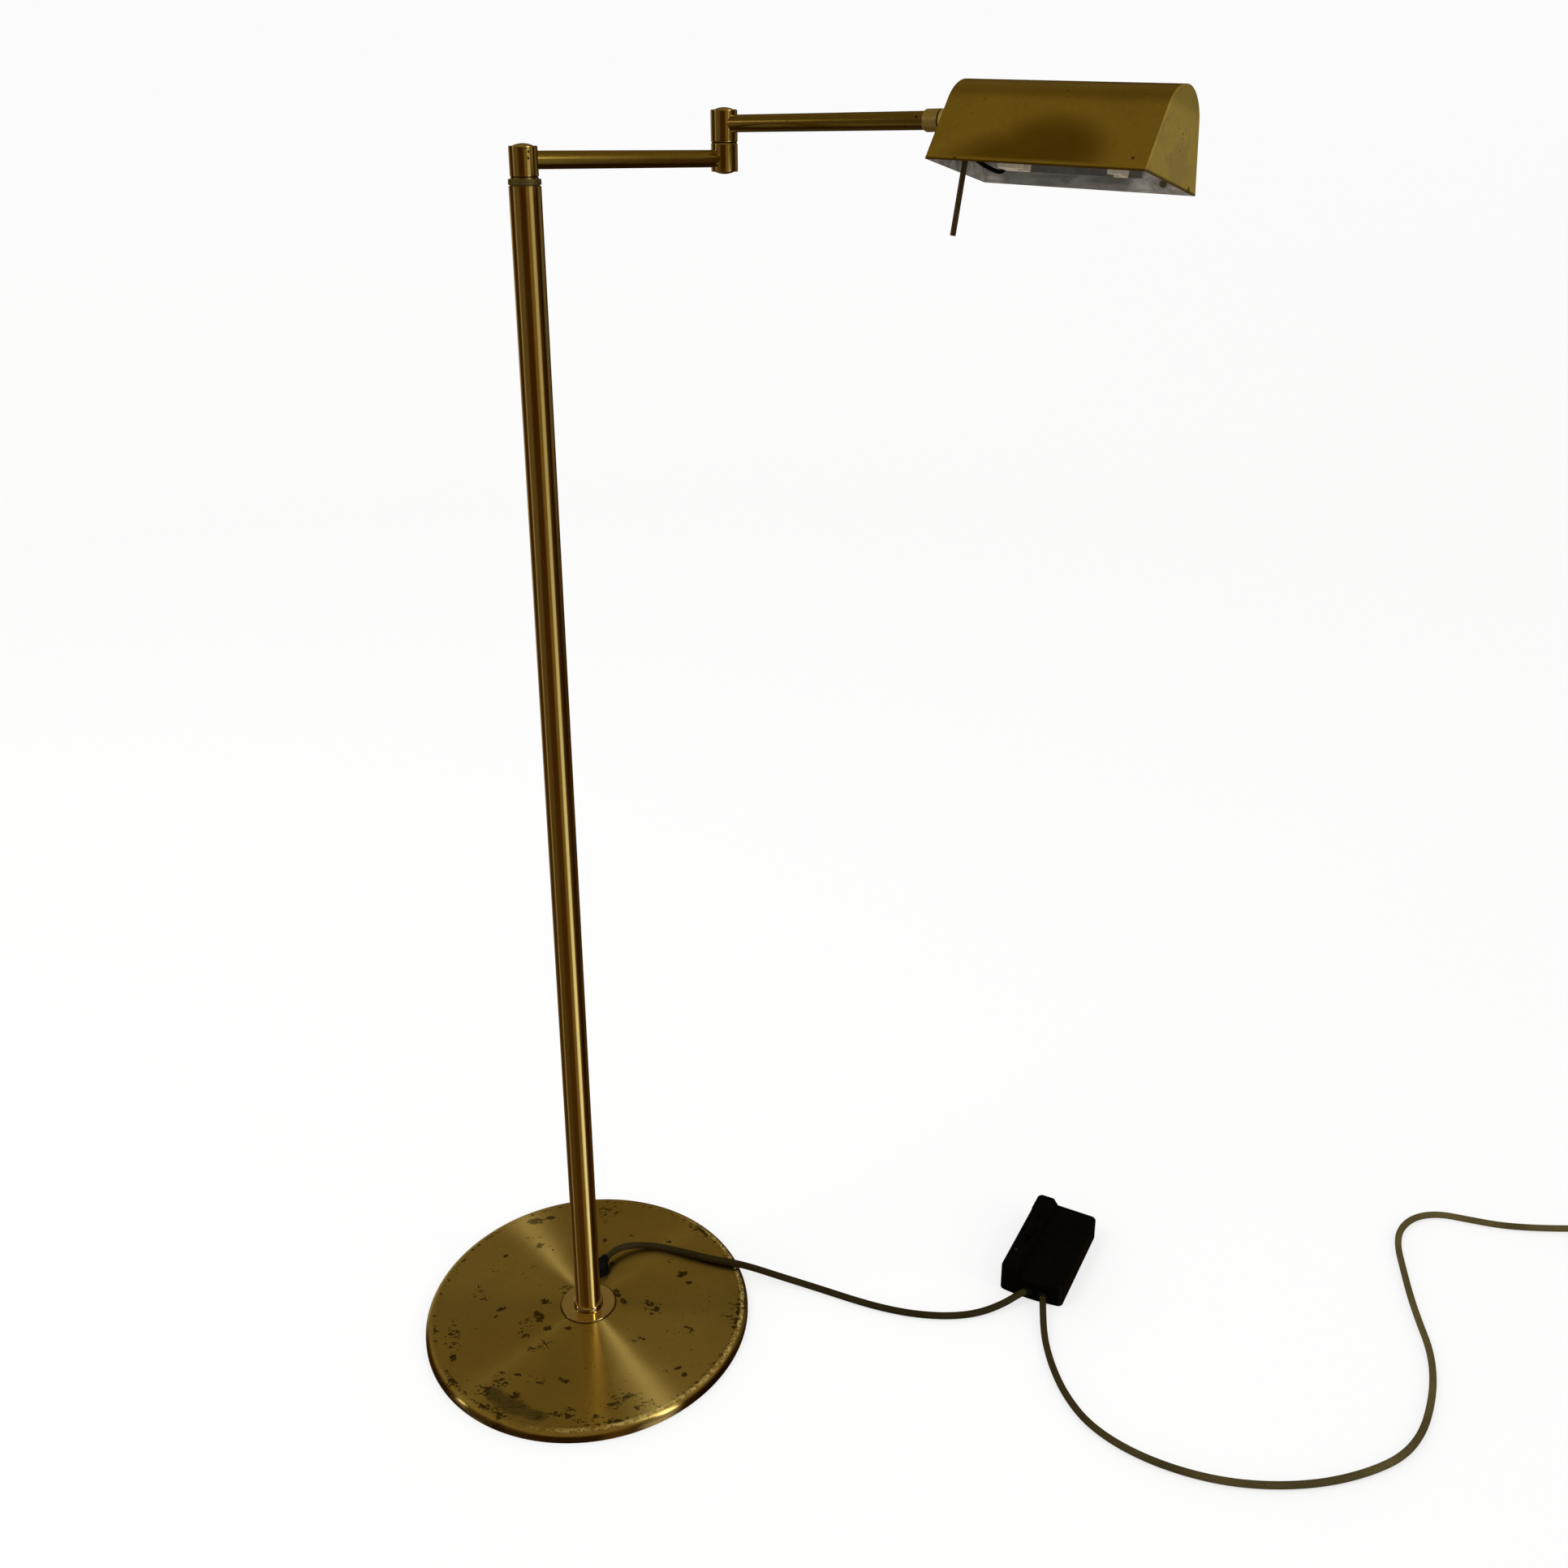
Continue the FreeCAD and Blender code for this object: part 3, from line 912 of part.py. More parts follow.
def straight_and_arcs(points):
    # Straight runs joined by tangent arcs, each as large as its two runs allow
    edges, radii = [], []
    start = points[0]
    for k in range(1, len(points) - 1):
        before = points[k] - points[k - 1]
        after = points[k + 1] - points[k]
        turn = before.getAngle(after)
        reach = 0.45 * min(before.Length, after.Length)
        radii.append(reach / math.tan(turn / 2))
        a = points[k] - before.normalize() * reach
        b = points[k] + after.normalize() * reach
        half_chord = (b - a).Length / 2
        middle = (a + b) * 0.5
        bulge = (points[k] - middle).normalize() * (half_chord * math.tan(turn / 4))
        edges.append(Part.LineSegment(start, a).toShape())
        edges.append(Part.Arc(a, middle + bulge, b).toShape())
        start = b
    edges.append(Part.LineSegment(start, points[-1]).toShape())
    return Part.Wire(edges), radii


def sweep(path, start, direction):
    circle = Part.Circle(start, direction, CORD_RADIUS).toShape()
    return path.makePipeShell([Part.Wire([circle])], True, False)


def free_cord(name, points):
    path, radii = straight_and_arcs(points)
    tube = sweep(path, points[0], points[1] - points[0])
    expected = path.Length * math.pi * CORD_RADIUS ** 2
    print("%s length %.0f least radius %.1f = %.1f diameters, volume ratio %.4f" % (
        name, path.Length, min(radii), min(radii) / (2 * CORD_RADIUS), tube.Volume / expected))
    save(name, tube)
    return path.Length


def biarc(p0, t0, p1, t1):
    # Two arcs that leave p0 along t0 and reach p1 along t1
    span, both = p1 - p0, t0 + t1
    a = both.dot(both) - 4
    b = -2 * span.dot(both)
    c = span.dot(span)
    reach = (-b - math.sqrt(b * b - 4 * a * c)) / (2 * a)
    q0, q1 = p0 + t0 * reach, p1 - t1 * reach
    join = (q0 + q1) * 0.5
    edges = []
    for start, corner, end in ((p0, q0, join), (join, q1, p1)):
        middle = (start + end) * 0.5
        half_chord = (end - start).Length / 2
        turn = (corner - start).getAngle(end - corner)
        edges.append(Part.Arc(start, middle + (corner - middle).normalize() * (half_chord * math.tan(turn / 4)),
                              end).toShape())
    return edges


def coil_state(turned, middle):
    # Clockwise coil: spirals in on the floor, climbs at the middle, spirals out above
    radius = COIL_MEAN_RADIUS + COIL_PITCH * (abs(turned - middle) - middle / 2) / (2 * math.pi)
    widening = 0.0 if abs(turned - middle) < 1e-6 else math.copysign(COIL_PITCH / (2 * math.pi), turned - middle)
    climbing = max(-1.0, min(1.0, (turned - middle) / (math.pi / 2)))
    lift = COIL_LAYER / 2 * (1 + math.sin(climbing * math.pi / 2))
    rise = COIL_LAYER / 2 * math.cos(climbing * math.pi / 2) if abs(climbing) < 1 else 0.0
    angle = math.radians(COIL_HEADING + 90) - turned
    outward = V(math.cos(angle), math.sin(angle), 0)
    onward = V(math.sin(angle), -math.cos(angle), 0)
    point = outward * radius + V(0, 0, CORD_RADIUS + SEAT + lift)
    return point, (onward * radius + outward * widening + V(0, 0, rise)).normalize()


def coil_geometry():
    middle = COIL_TURNS * math.pi
    quarter = math.pi / 2
    steps = int(middle / quarter)
    turns = [middle + quarter * k for k in range(-steps, steps + 1)]
    if turns[0] > 0.01:
        turns = [0.0] + turns + [2 * middle]
    states = [coil_state(turned, middle) for turned in turns]
    shift = V(COIL_X, COIL_Y, 0) - V(states[0][0].x, states[0][0].y, 0)
    return [(point + shift, tangent) for point, tangent in states]


def least_self_gap(edges):
    # Smallest clear distance between stretches of the coil that lie over half a turn apart
    points, travelled, total = [], [], 0.0
    for edge in edges:
        count = max(2, int(edge.Length / 2))
        for k in range(count):
            points.append(edge.valueAt(edge.FirstParameter
                                       + (edge.LastParameter - edge.FirstParameter) * k / count))
            travelled.append(total + edge.Length * k / count)
        total += edge.Length
    apart = math.pi * COIL_MEAN_RADIUS
    least = 1e9
    for i in range(len(points)):
        for j in range(i + 1, len(points)):
            if travelled[j] - travelled[i] > apart:
                least = min(least, points[i].distanceToPoint(points[j]))
    return least - 2 * CORD_RADIUS


def make_cords():
    first_mouth = grommet_mouth()
    into_dimmer = DIMMER_PLACE.multVec(bush_point(CORD_1_SIDE, BUSH_OUTSIDE, CORD_1_SLANT))
    free_cord("cord_to_dimmer", [first_mouth] + CORD_1_ROUTE + [into_dimmer])

    out_of_dimmer = DIMMER_PLACE.multVec(bush_point(CORD_2_SIDE, BUSH_OUTSIDE, CORD_2_SLANT))
    states = coil_geometry()
    lead = 2 * CORD_RADIUS
    coil_in = states[0][0] - states[0][1] * lead
    free_cord("cord_to_wall", [out_of_dimmer] + CORD_2_ROUTE + [coil_in])
    print("mouths", first_mouth, into_dimmer, out_of_dimmer, "coil starts", coil_in)

    edges = [Part.LineSegment(coil_in, states[0][0]).toShape()]
    for k in range(len(states) - 1):
        edges += biarc(states[k][0], states[k][1], states[k + 1][0], states[k + 1][1])
    coil_out = states[-1][0] + states[-1][1] * lead
    edges.append(Part.LineSegment(states[-1][0], coil_out).toShape())
    path = Part.Wire(edges)
    coil = sweep(path, coil_in, states[0][1])
    print("cord_coil length %.0f least self gap %.2f volume ratio %.4f" % (
        path.Length, least_self_gap(edges), coil.Volume / (path.Length * math.pi * CORD_RADIUS ** 2)))
    save("cord_coil", coil)

    # Short tail from the coil's upper layer down to the plug beside it
    forward = states[-1][1]
    side = V(-forward.y, forward.x, 0)
    plug_height = PLUG_THICKNESS / 2 + SEAT
    drop = coil_out.z - plug_height
    tail = [coil_out, coil_out + forward * 13 + side * 0.3 - UP * drop * 0.1,
            coil_out + forward * 28 - side * 0.9 - UP * drop * 0.55,
            coil_out + forward * 43 - side * 1.6 - UP * drop * 0.95]
    plug_start = coil_out + forward * 56 - side * 1.5
    plug_start.z = plug_height
    tail.append(plug_start)
    free_cord("cord_tail", tail)
    make_plug(plug_start, forward)


def rounded_rectangle(width, thickness, radius, place):
    y, z, r = width / 2, thickness / 2, radius
    k = r * (1 - math.sqrt(0.5))
    corners = [(1, 1), (-1, 1), (-1, -1), (1, -1)]
    edges = []
    for index, (sy, sz) in enumerate(corners):
        level, upright = V(0, sy * (y - r), sz * z), V(0, sy * y, sz * (z - r))
        start, end = (upright, level) if index % 2 == 0 else (level, upright)
        edges.append(Part.Arc(start, V(0, sy * (y - k), sz * (z - k)), end).toShape())
        ny, nz = corners[(index + 1) % 4]
        after = V(0, ny * (y - r), nz * z) if index % 2 == 0 else V(0, ny * y, nz * (z - r))
        edges.append(Part.LineSegment(end, after).toShape())
    return placed(Part.Wire(edges), place)


def make_plug(start, forward):
    place = FreeCAD.Placement(start, FreeCAD.Rotation(V(1, 0, 0), forward))
    relief = Part.makeCone(PLUG_RELIEF_TIP, PLUG_RELIEF_RADIUS, PLUG_RELIEF_LENGTH, V(0, 0, 0), V(1, 0, 0))

    def section(width, thickness, distance):
        spot = FreeCAD.Placement(V(PLUG_RELIEF_LENGTH + distance, 0, 0), FreeCAD.Rotation())
        return rounded_rectangle(width, thickness, PLUG_ROUNDING, spot)

    rear = section(PLUG_REAR_WIDTH, PLUG_REAR_THICKNESS, 0)
    waist = section(PLUG_WIDTH, PLUG_THICKNESS, PLUG_LENGTH * PLUG_GRIP_SHARE)
    face = section(PLUG_WIDTH, PLUG_THICKNESS, PLUG_LENGTH)
    body = Part.makeLoft([rear, waist], True, True).fuse(Part.makeLoft([waist, face], True, True))
    save("plug_body", placed(body.fuse(relief).removeSplitter(), place))
    pins = []
    for sign in (-1, 1):
        foot = V(PLUG_RELIEF_LENGTH + PLUG_LENGTH, sign * PIN_SPACING / 2, 0)
        shank = PIN_LENGTH - PIN_RADIUS
        pin = Part.makeCylinder(PIN_RADIUS, shank, foot, V(1, 0, 0))
        tip = Part.makeSphere(PIN_RADIUS, foot + V(shank, 0, 0))
        pins.append(placed(pin.fuse(tip).removeSplitter(), place))
    save("plug_pins", *pins)


os.makedirs("parts", exist_ok=True)
make_base()
make_grommet()
make_pole()
make_lower_arm()
make_upper_arm()
make_shade()
make_dimmer()
make_cords()
print(len(PARTS), "nodes")
print("shade axis", SHADE_AXIS, "swivel point", SWIVEL_POINT, "elbow", ELBOW)
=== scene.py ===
import math

import bmesh
import bpy
from mathutils import Matrix, Vector


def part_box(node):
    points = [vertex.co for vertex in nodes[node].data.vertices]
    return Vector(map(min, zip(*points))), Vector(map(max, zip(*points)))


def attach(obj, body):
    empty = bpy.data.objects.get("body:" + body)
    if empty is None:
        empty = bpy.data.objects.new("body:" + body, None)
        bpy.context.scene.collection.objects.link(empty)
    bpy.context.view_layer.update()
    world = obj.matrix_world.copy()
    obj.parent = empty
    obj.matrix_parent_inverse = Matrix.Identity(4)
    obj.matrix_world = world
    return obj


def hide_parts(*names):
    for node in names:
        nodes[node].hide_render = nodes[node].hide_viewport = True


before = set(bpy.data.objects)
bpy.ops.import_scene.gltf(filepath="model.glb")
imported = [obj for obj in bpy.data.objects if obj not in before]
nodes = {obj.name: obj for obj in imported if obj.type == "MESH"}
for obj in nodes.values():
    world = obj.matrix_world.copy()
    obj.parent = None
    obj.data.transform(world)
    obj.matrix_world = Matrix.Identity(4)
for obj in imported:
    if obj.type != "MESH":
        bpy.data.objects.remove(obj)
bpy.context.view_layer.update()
print("frame loaded,", len(nodes), "pieces")


# Camera, solved from the photograph
photoCamera = {
    "place": (0.17064, -1.03756, 0.96611),
    "pitch": 19.01,                              # degrees below the horizon
    "roll": -0.19,
    "lens": 33.809,
    "sensor": 36.0,
    "shift": (0.002065, -0.0809),
    "clip": (0.01, 60.0),
}


def addPiece(name, data):
    piece = bpy.data.objects.new(name, data)
    bpy.context.scene.collection.objects.link(piece)
    return piece


def meshData(name, mesh, material):              # a finished bmesh as smooth shaded mesh data
    data = bpy.data.meshes.new(name)
    mesh.to_mesh(data)
    mesh.free()
    for face in data.polygons:
        face.use_smooth = True
    data.materials.append(material)
    return data


def setCamera(look):
    data = bpy.data.cameras.new("photoCamera")
    data.sensor_width = look["sensor"]
    data.lens = look["lens"]
    data.shift_x, data.shift_y = look["shift"]
    data.clip_start, data.clip_end = look["clip"]
    camera = addPiece("photoCamera", data)
    tilt = Matrix.Rotation(math.radians(90 - look["pitch"]), 4, "X")
    lean = Matrix.Rotation(math.radians(look["roll"]), 4, "Z")
    camera.matrix_world = Matrix.Translation(look["place"]) @ tilt @ lean
    bpy.context.scene.camera = camera


setCamera(photoCamera)
print("camera set")


# Shader maths: a tone is one socket, and sums and products of tones add Math nodes
class Tone:
    def __init__(self, tree, socket):
        self.tree = tree
        self.socket = socket

    def make(self, kind, settings, sockets, take=0):
        node = self.tree.nodes.new(kind)
        for key, value in settings.items():
            setattr(node, key, value)
        for key, value in sockets.items():
            if isinstance(value, Tone):
                self.tree.links.new(value.socket, node.inputs[key])
            elif isinstance(value, tuple) and node.inputs[key].type == "RGBA":
                node.inputs[key].default_value = (*value[:3], 1.0)
            else:
                node.inputs[key].default_value = value
        return Tone(self.tree, node.outputs[take]) if take is not None else None

    def maths(self, operation, *values):
        return self.make("ShaderNodeMath", {"operation": operation}, dict(enumerate(values)))

    def __add__(self, other):
        return self.maths("ADD", self, other)

    def __radd__(self, other):
        return self.maths("ADD", other, self)

    def __sub__(self, other):
        return self.maths("SUBTRACT", self, other)

    def __rsub__(self, other):
        return self.maths("SUBTRACT", other, self)

    def __mul__(self, other):
        return self.maths("MULTIPLY", self, other)

    def __rmul__(self, other):
        return self.maths("MULTIPLY", other, self)

    def absolute(self):
        return self.maths("ABSOLUTE", self)

    def larger(self, other):
        return self.maths("MAXIMUM", self, other)

    def smooth(self, low, high):                 # 0 below low, 1 above high, soft between
        rising = low < high
        ends = (0.0, 1.0) if rising else (1.0, 0.0)
        return self.make("ShaderNodeMapRange", {"interpolation_type": "SMOOTHSTEP"},
                         {0: self, 1: min(low, high), 2: max(low, high), 3: ends[0], 4: ends[1]})

    def mix(self, first, second):                # colour mix, this tone is the factor
        return self.make("ShaderNodeMix", {"data_type": "RGBA"}, {0: self, 6: first, 7: second}, 2)

    def vector(self, operation, *values, take=0):
        sockets = dict(enumerate((self, *values)))
        return self.make("ShaderNodeVectorMath", {"operation": operation}, sockets, take)

    def stretch(self, factors):
        return self.vector("MULTIPLY", factors)

    def shifted(self, offset):
        return self.vector("SUBTRACT", offset)

    def unit(self):
        return self.vector("NORMALIZE")

    def length(self):
        return self.vector("LENGTH", take=1)

    def along(self, direction):
        return self.vector("DOT_PRODUCT", direction, take=1)

    def noise(self, scale, detail, rough, warp=0.0):
        return self.make("ShaderNodeTexNoise", {}, {
            "Vector": self, "Scale": scale, "Detail": detail, "Roughness": rough, "Distortion": warp})


def bundle(x, y, z):                             # three tones as one vector
    return x.make("ShaderNodeCombineXYZ", {}, {0: x, 1: y, 2: z})


def coordinate(tree, kind):
    return Tone(tree, tree.nodes.new("ShaderNodeTexCoord").outputs[kind])


def emptyTree(owner):
    owner.use_nodes = True
    owner.node_tree.nodes.clear()
    return owner.node_tree


def newMaterial(name):
    material = bpy.data.materials.new(name)
    return material, coordinate(emptyTree(material), "Object")


def facing(here):                                # the surface's own direction
    return coordinate(here.tree, "Normal")


def finishMaterial(material, here, look, height, depth):
    bump = here.make("ShaderNodeBump", {}, {"Height": height, "Distance": depth, "Strength": 1.0})
    surface = here.make("ShaderNodeBsdfPrincipled", {}, {**look, "Normal": bump})
    here.make("ShaderNodeOutputMaterial", {}, {"Surface": surface}, None)
    return material


def give(material, *names):
    for name in names:
        for slot in nodes[name].material_slots:
            slot.material = material


def largest(masks):
    total = None
    for mask in masks:
        total = mask if total is None else total.larger(mask)
    return total


def patches(here, spots):                        # 1 inside any (x, y, half length, half width, heading) mark
    masks = []
    for x, y, long, wide, heading in spots:
        a = math.radians(heading)
        moved = here.shifted((x, y, 0.0))
        one = moved.along((math.cos(a) / long, math.sin(a) / long, 0.0))
        two = moved.along((-math.sin(a) / wide, math.cos(a) / wide, 0.0))
        masks.append((one * one + two * two).smooth(1.0, 0.1))
    return largest(masks)


def dots(here, spots):                           # 1 inside any (x, y, z, radius) pit
    return largest([here.shifted(spot[:3]).length().smooth(spot[3], spot[3] * 0.6) for spot in spots])


# Brass of the base
baseLook = {
    "bright": (0.86, 0.68, 0.245),
    "dull": (0.74, 0.57, 0.195),
    "worn": (0.94, 0.72, 0.26),
    "stain": (0.17, 0.125, 0.045),
    "patina": (0.27, 0.235, 0.115),
    "edge": (0.13, 0.055, 0.022),
    "seam": (0.06, 0.03, 0.012),
    "brushing": 1250.0,
    "roughness": 0.385,
    "brushed": 1.0,
    "rim": (0.1340, 0.1366),                     # distances from the pole over which the rolled edge begins
    "crease": 0.1322,
    "wornAt": 0.1350,
    "rubbedSide": (0.93, -0.37, 0.0),
    "edgeRise": (0.0082, 0.0050),                # heights over which the rim darkens downward, as painted shade towards the floor
    "flakes": [                                  # dark flakes: x, y, half length, half width and heading
        (-0.063, 0.106, 0.013, 0.006, 12), (-0.050, 0.110, 0.007, 0.004, 10),
        (-0.055, 0.073, 0.007, 0.005, 10), (-0.041, -0.016, 0.010, 0.006, -65),
        (-0.032, -0.029, 0.005, 0.005, 0), (-0.038, 0.002, 0.007, 0.004, -20),
        (0.024, 0.012, 0.008, 0.004, -60), (0.031, 0.002, 0.006, 0.004, -50),
        (0.080, 0.036, 0.007, 0.005, 30), (-0.106, -0.061, 0.004, 0.006, 0),
        (-0.075, -0.006, 0.006, 0.003, 30), (-0.078, -0.015, 0.003, 0.003, 0),
        (-0.014, -0.029, 0.005, 0.003, -30), (-0.010, -0.085, 0.008, 0.004, -35),
        (0.064, 0.078, 0.007, 0.003, -40), (0.054, -0.001, 0.008, 0.004, -35),
        (0.060, -0.008, 0.004, 0.003, 0), (0.044, -0.102, 0.010, 0.003, 15),
        (0.015, 0.048, 0.005, 0.004, 30), (0.083, -0.073, 0.005, 0.003, 45),
        (0.089, -0.080, 0.003, 0.003, 0), (-0.049, -0.079, 0.005, 0.002, -10),
        (0.087, 0.025, 0.004, 0.003, 0), (-0.083, 0.059, 0.004, 0.003, 40),
        (-0.047, -0.099, 0.005, 0.003, -30), (-0.073, -0.094, 0.005, 0.004, 0),
        (-0.041, 0.067, 0.0015, 0.0015, 0), (0.005, 0.079, 0.004, 0.004, 0),
        (-0.063, -0.084, 0.007, 0.004, 20), (-0.058, -0.088, 0.004, 0.003, 0),
        (-0.001, -0.122, 0.005, 0.003, 15), (0.032, -0.110, 0.006, 0.003, 10),
        (0.052, -0.113, 0.005, 0.003, 30)],
    "groups": [                                  # looser groups of small flakes
        (-0.061, 0.085, 0.012, 0.008, 0), (-0.097, 0.013, 0.010, 0.016, 20),
        (-0.091, 0.041, 0.010, 0.004, -15), (-0.022, 0.014, 0.010, 0.011, 0),
        (-0.033, -0.049, 0.016, 0.014, 0), (-0.062, -0.084, 0.012, 0.013, 0),
        (-0.033, -0.085, 0.012, 0.009, 0), (-0.074, -0.095, 0.015, 0.010, 0),
        (0.004, 0.118, 0.020, 0.013, 10), (0.040, -0.106, 0.024, 0.015, 10),
        (0.057, -0.109, 0.016, 0.010, 20), (0.049, -0.041, 0.012, 0.005, 10),
        (-0.006, -0.118, 0.016, 0.008, 10), (-0.046, -0.100, 0.008, 0.006, -30),
        (0.092, 0.092, 0.009, 0.016, 40), (0.069, 0.052, 0.005, 0.005, 0), (0.088, -0.030, 0.008, 0.008, 0),
        (-0.105, -0.085, 0.020, 0.009, -45), (0.056, -0.006, 0.014, 0.012, -20),
        (0.128, -0.012, 0.007, 0.030, 0), (-0.110, -0.040, 0.010, 0.030, 10),
        (-0.050, -0.030, 0.012, 0.020, 0), (0.020, -0.125, 0.030, 0.007, 0),
        (-0.064, -0.118, 0.018, 0.012, -30)],
    "patches": [                                 # grey-green patina at the front left
        (-0.049, -0.110, 0.027, 0.012, -28), (-0.030, -0.120, 0.018, 0.008, -14),
        (-0.064, -0.100, 0.014, 0.010, -40), (-0.058, -0.132, 0.014, 0.009, -24)],
}


def baseBrass(look):
    material, here = newMaterial("baseBrass")
    low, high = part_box("flange_washer")
    seamReach = (high.x - low.x) / 2
    flat = here.stretch((1.0, 1.0, 0.0))
    reach = flat.length()
    around = flat.unit()
    rings = bundle(reach * look["brushing"], around.along((1.6, 0.0, 0.0)), around.along((0.0, 1.6, 0.0)))
    rings = rings.noise(1.0, 3.0, 0.6)
    broad = here.noise(16.0, 5.0, 0.6)
    fine = here.noise(430.0, 3.0, 0.6, 0.4)
    flakes = here.stretch((0.85, 1.15, 1.0)).noise(260.0, 3.0, 0.55, 0.9)
    onRim = reach.smooth(*look["rim"])
    crease = (reach - look["crease"]).absolute().smooth(0.0030, 0.0004)
    rubbed = here.along(look["rubbedSide"]).smooth(0.0, 0.09)
    worn = (reach - look["wornAt"]).absolute().smooth(0.0026, 0.0008) * fine.smooth(0.42, 0.60)
    worn = worn * (0.06 + rubbed * 0.94)
    marks = (patches(here, look["flakes"]) * 0.30).larger(patches(here, look["groups"]) * 0.145)
    patina = patches(here, look["patches"])
    spread = flakes + marks + crease * 0.12 + patina * 0.05 + (broad - 0.5) * 0.10
    stains = spread.smooth(0.700, 0.722)
    freckles = (fine + marks * 0.25 + (broad - 0.5) * 0.12 + crease * 0.08).smooth(0.690, 0.712)
    patina = (patina + (fine - 0.5) * 0.9 + (flakes - 0.5) * 0.8 + (broad - 0.5) * 1.2).smooth(0.10, 1.10)
    metal = (broad * 0.8 + fine * 0.2).smooth(0.32, 0.68).mix(look["dull"], look["bright"])
    metal = (onRim * 0.4).larger(worn).mix(metal, look["worn"])
    spotted = stains.larger(freckles * 0.7)
    colour = (patina * 0.86).mix(metal, look["patina"])
    colour = (spotted * 0.92).mix(colour, look["stain"])
    # painted shade: the rim darkens towards the floor
    under = here.along((0.0, 0.0, 1.0)).smooth(*look["edgeRise"])
    colour = (under * 0.75).mix(colour, look["edge"])
    seam = (reach - seamReach).absolute().smooth(0.0016, 0.0005)
    colour = (seam * 0.9).mix(colour, look["seam"])
    roughness = (look["roughness"] + (rings - 0.5) * 0.06 + spotted * 0.10 + patina * 0.10
                 + (fine - 0.5) * 0.06 - onRim * 0.19)
    height = rings * 0.30 - spotted * 0.5 - patina * 0.2 + (broad - 0.5) * 0.4
    return finishMaterial(material, here, {
        "Base Color": colour, "Roughness": roughness, "Metallic": 1.0 - worn * 0.22,
        "Anisotropic": look["brushed"], "Anisotropic Rotation": 0.25}, height, 0.00004)


# Brass of the pole, arms and knuckles
tubeLooks = {
    "poleBrass": {"bright": (0.88, 0.67, 0.27), "dull": (0.78, 0.57, 0.21), "pit": (0.20, 0.11, 0.04),
                  "roughness": 0.15, "drawn": (0.0, 0.0, 1.0), "grain": 0.35, "metallic": 1.0},
    # the arms' brass is the pole's brass darkened, as painted shade for the dim room they mirror
    "lowerArmBrass": {"bright": (0.46, 0.325, 0.072), "dull": (0.39, 0.27, 0.055), "pit": (0.07, 0.03, 0.02),
                      "roughness": 0.17, "drawn": (0.8161, 0.5779, 0.0), "grain": 0.05, "metallic": 1.0,
                      "under": (0.24, 0.17, 0.06)},
    "upperArmBrass": {"bright": (0.38, 0.265, 0.055), "dull": (0.32, 0.215, 0.042), "pit": (0.07, 0.03, 0.02),
                      "roughness": 0.21, "drawn": (0.8100, -0.5864, 0.0), "grain": 0.05, "metallic": 1.0,
                      "under": (0.24, 0.17, 0.06),
                      "dots": [(0.26073, -0.00814, 0.98632, 0.0012), (0.25352, -0.00214, 0.98067, 0.0007),
                               (0.17633, 0.05245, 0.98477, 0.0006)]},
    "knuckleBrass": {"bright": (0.84, 0.65, 0.25), "dull": (0.74, 0.56, 0.19), "pit": (0.06, 0.035, 0.02),
                     "roughness": 0.14, "drawn": (0.0, 0.0, 1.0), "grain": 0.35, "metallic": 1.0,
                     "dots": [(0.00507, -0.00827, 0.96541, 0.0011), (0.00465, -0.00851, 0.96134, 0.0011),
                              (0.00304, -0.00921, 0.96749, 0.0007), (0.00403, -0.00882, 0.96272, 0.0006)]},
    "sleeveBrass": {"bright": (0.72, 0.55, 0.19), "dull": (0.62, 0.465, 0.15), "pit": (0.20, 0.12, 0.05),
                    "roughness": 0.34, "drawn": (0.81, -0.5864, 0.0), "grain": 0.4, "metallic": 0.97},
    "rodBrass": {"bright": (0.24, 0.165, 0.085), "dull": (0.14, 0.098, 0.052), "pit": (0.05, 0.03, 0.02),
                 "roughness": 0.34, "drawn": (0.0, 0.0, 1.0), "grain": 1.0, "metallic": 0.97},
    "ringBrass": {"bright": (0.27, 0.205, 0.080), "dull": (0.18, 0.135, 0.050), "pit": (0.08, 0.05, 0.02),
                  "roughness": 0.48, "drawn": (0.0, 0.0, 1.0), "grain": 0.8, "metallic": 0.94},
    "polishedBrass": {"bright": (0.84, 0.66, 0.36), "dull": (0.74, 0.57, 0.29), "pit": (0.20, 0.12, 0.06),
                      "roughness": 0.07, "drawn": (0.0, 0.0, 1.0), "grain": 0.2, "metallic": 1.0},
}


def tubeBrass(name, look):
    material, here = newMaterial(name)
    drawn = Vector(look["drawn"]).normalized()
    side = drawn.orthogonal().normalized()
    one, two, lengthwise = (here.along(tuple(way)) for way in (side, drawn.cross(side), drawn))
    across = bundle(one, two, lengthwise * 0.02)
    streaks = across.noise(700.0, 3.0, 0.6)
    broad = across.noise(75.0, 4.0, 0.6)
    mottle = here.noise(170.0, 4.0, 0.6)
    pits = (here.noise(520.0, 2.0, 0.5, 0.6) + (here.noise(9.0, 3.0, 0.5) - 0.5) * 0.12).smooth(0.80, 0.82)
    if "dots" in look:
        pits = pits.larger(dots(here, look["dots"]))
    tarnishAndPaintedShade = (broad * 0.45 + mottle * 0.35 + streaks * 0.2).smooth(0.30, 0.70)
    colour = tarnishAndPaintedShade.mix(look["dull"], look["bright"])
    if "under" in look:                          # painted shade on the lower side
        colour = facing(here).along((0.0, 0.0, 1.0)).smooth(-0.30, -0.85).mix(colour, look["under"])
    colour = pits.mix(colour, look["pit"])
    grain = look["grain"]
    roughness = (look["roughness"] + (mottle - 0.5) * 0.07 * grain + (streaks - 0.5) * 0.05 * grain
                 + pits * 0.3)
    height = streaks * 0.12 * grain + (mottle - 0.5) * 0.15 * grain - pits * 0.8
    return finishMaterial(material, here, {
        "Base Color": colour, "Roughness": roughness, "Metallic": look["metallic"]}, height, 0.00003)


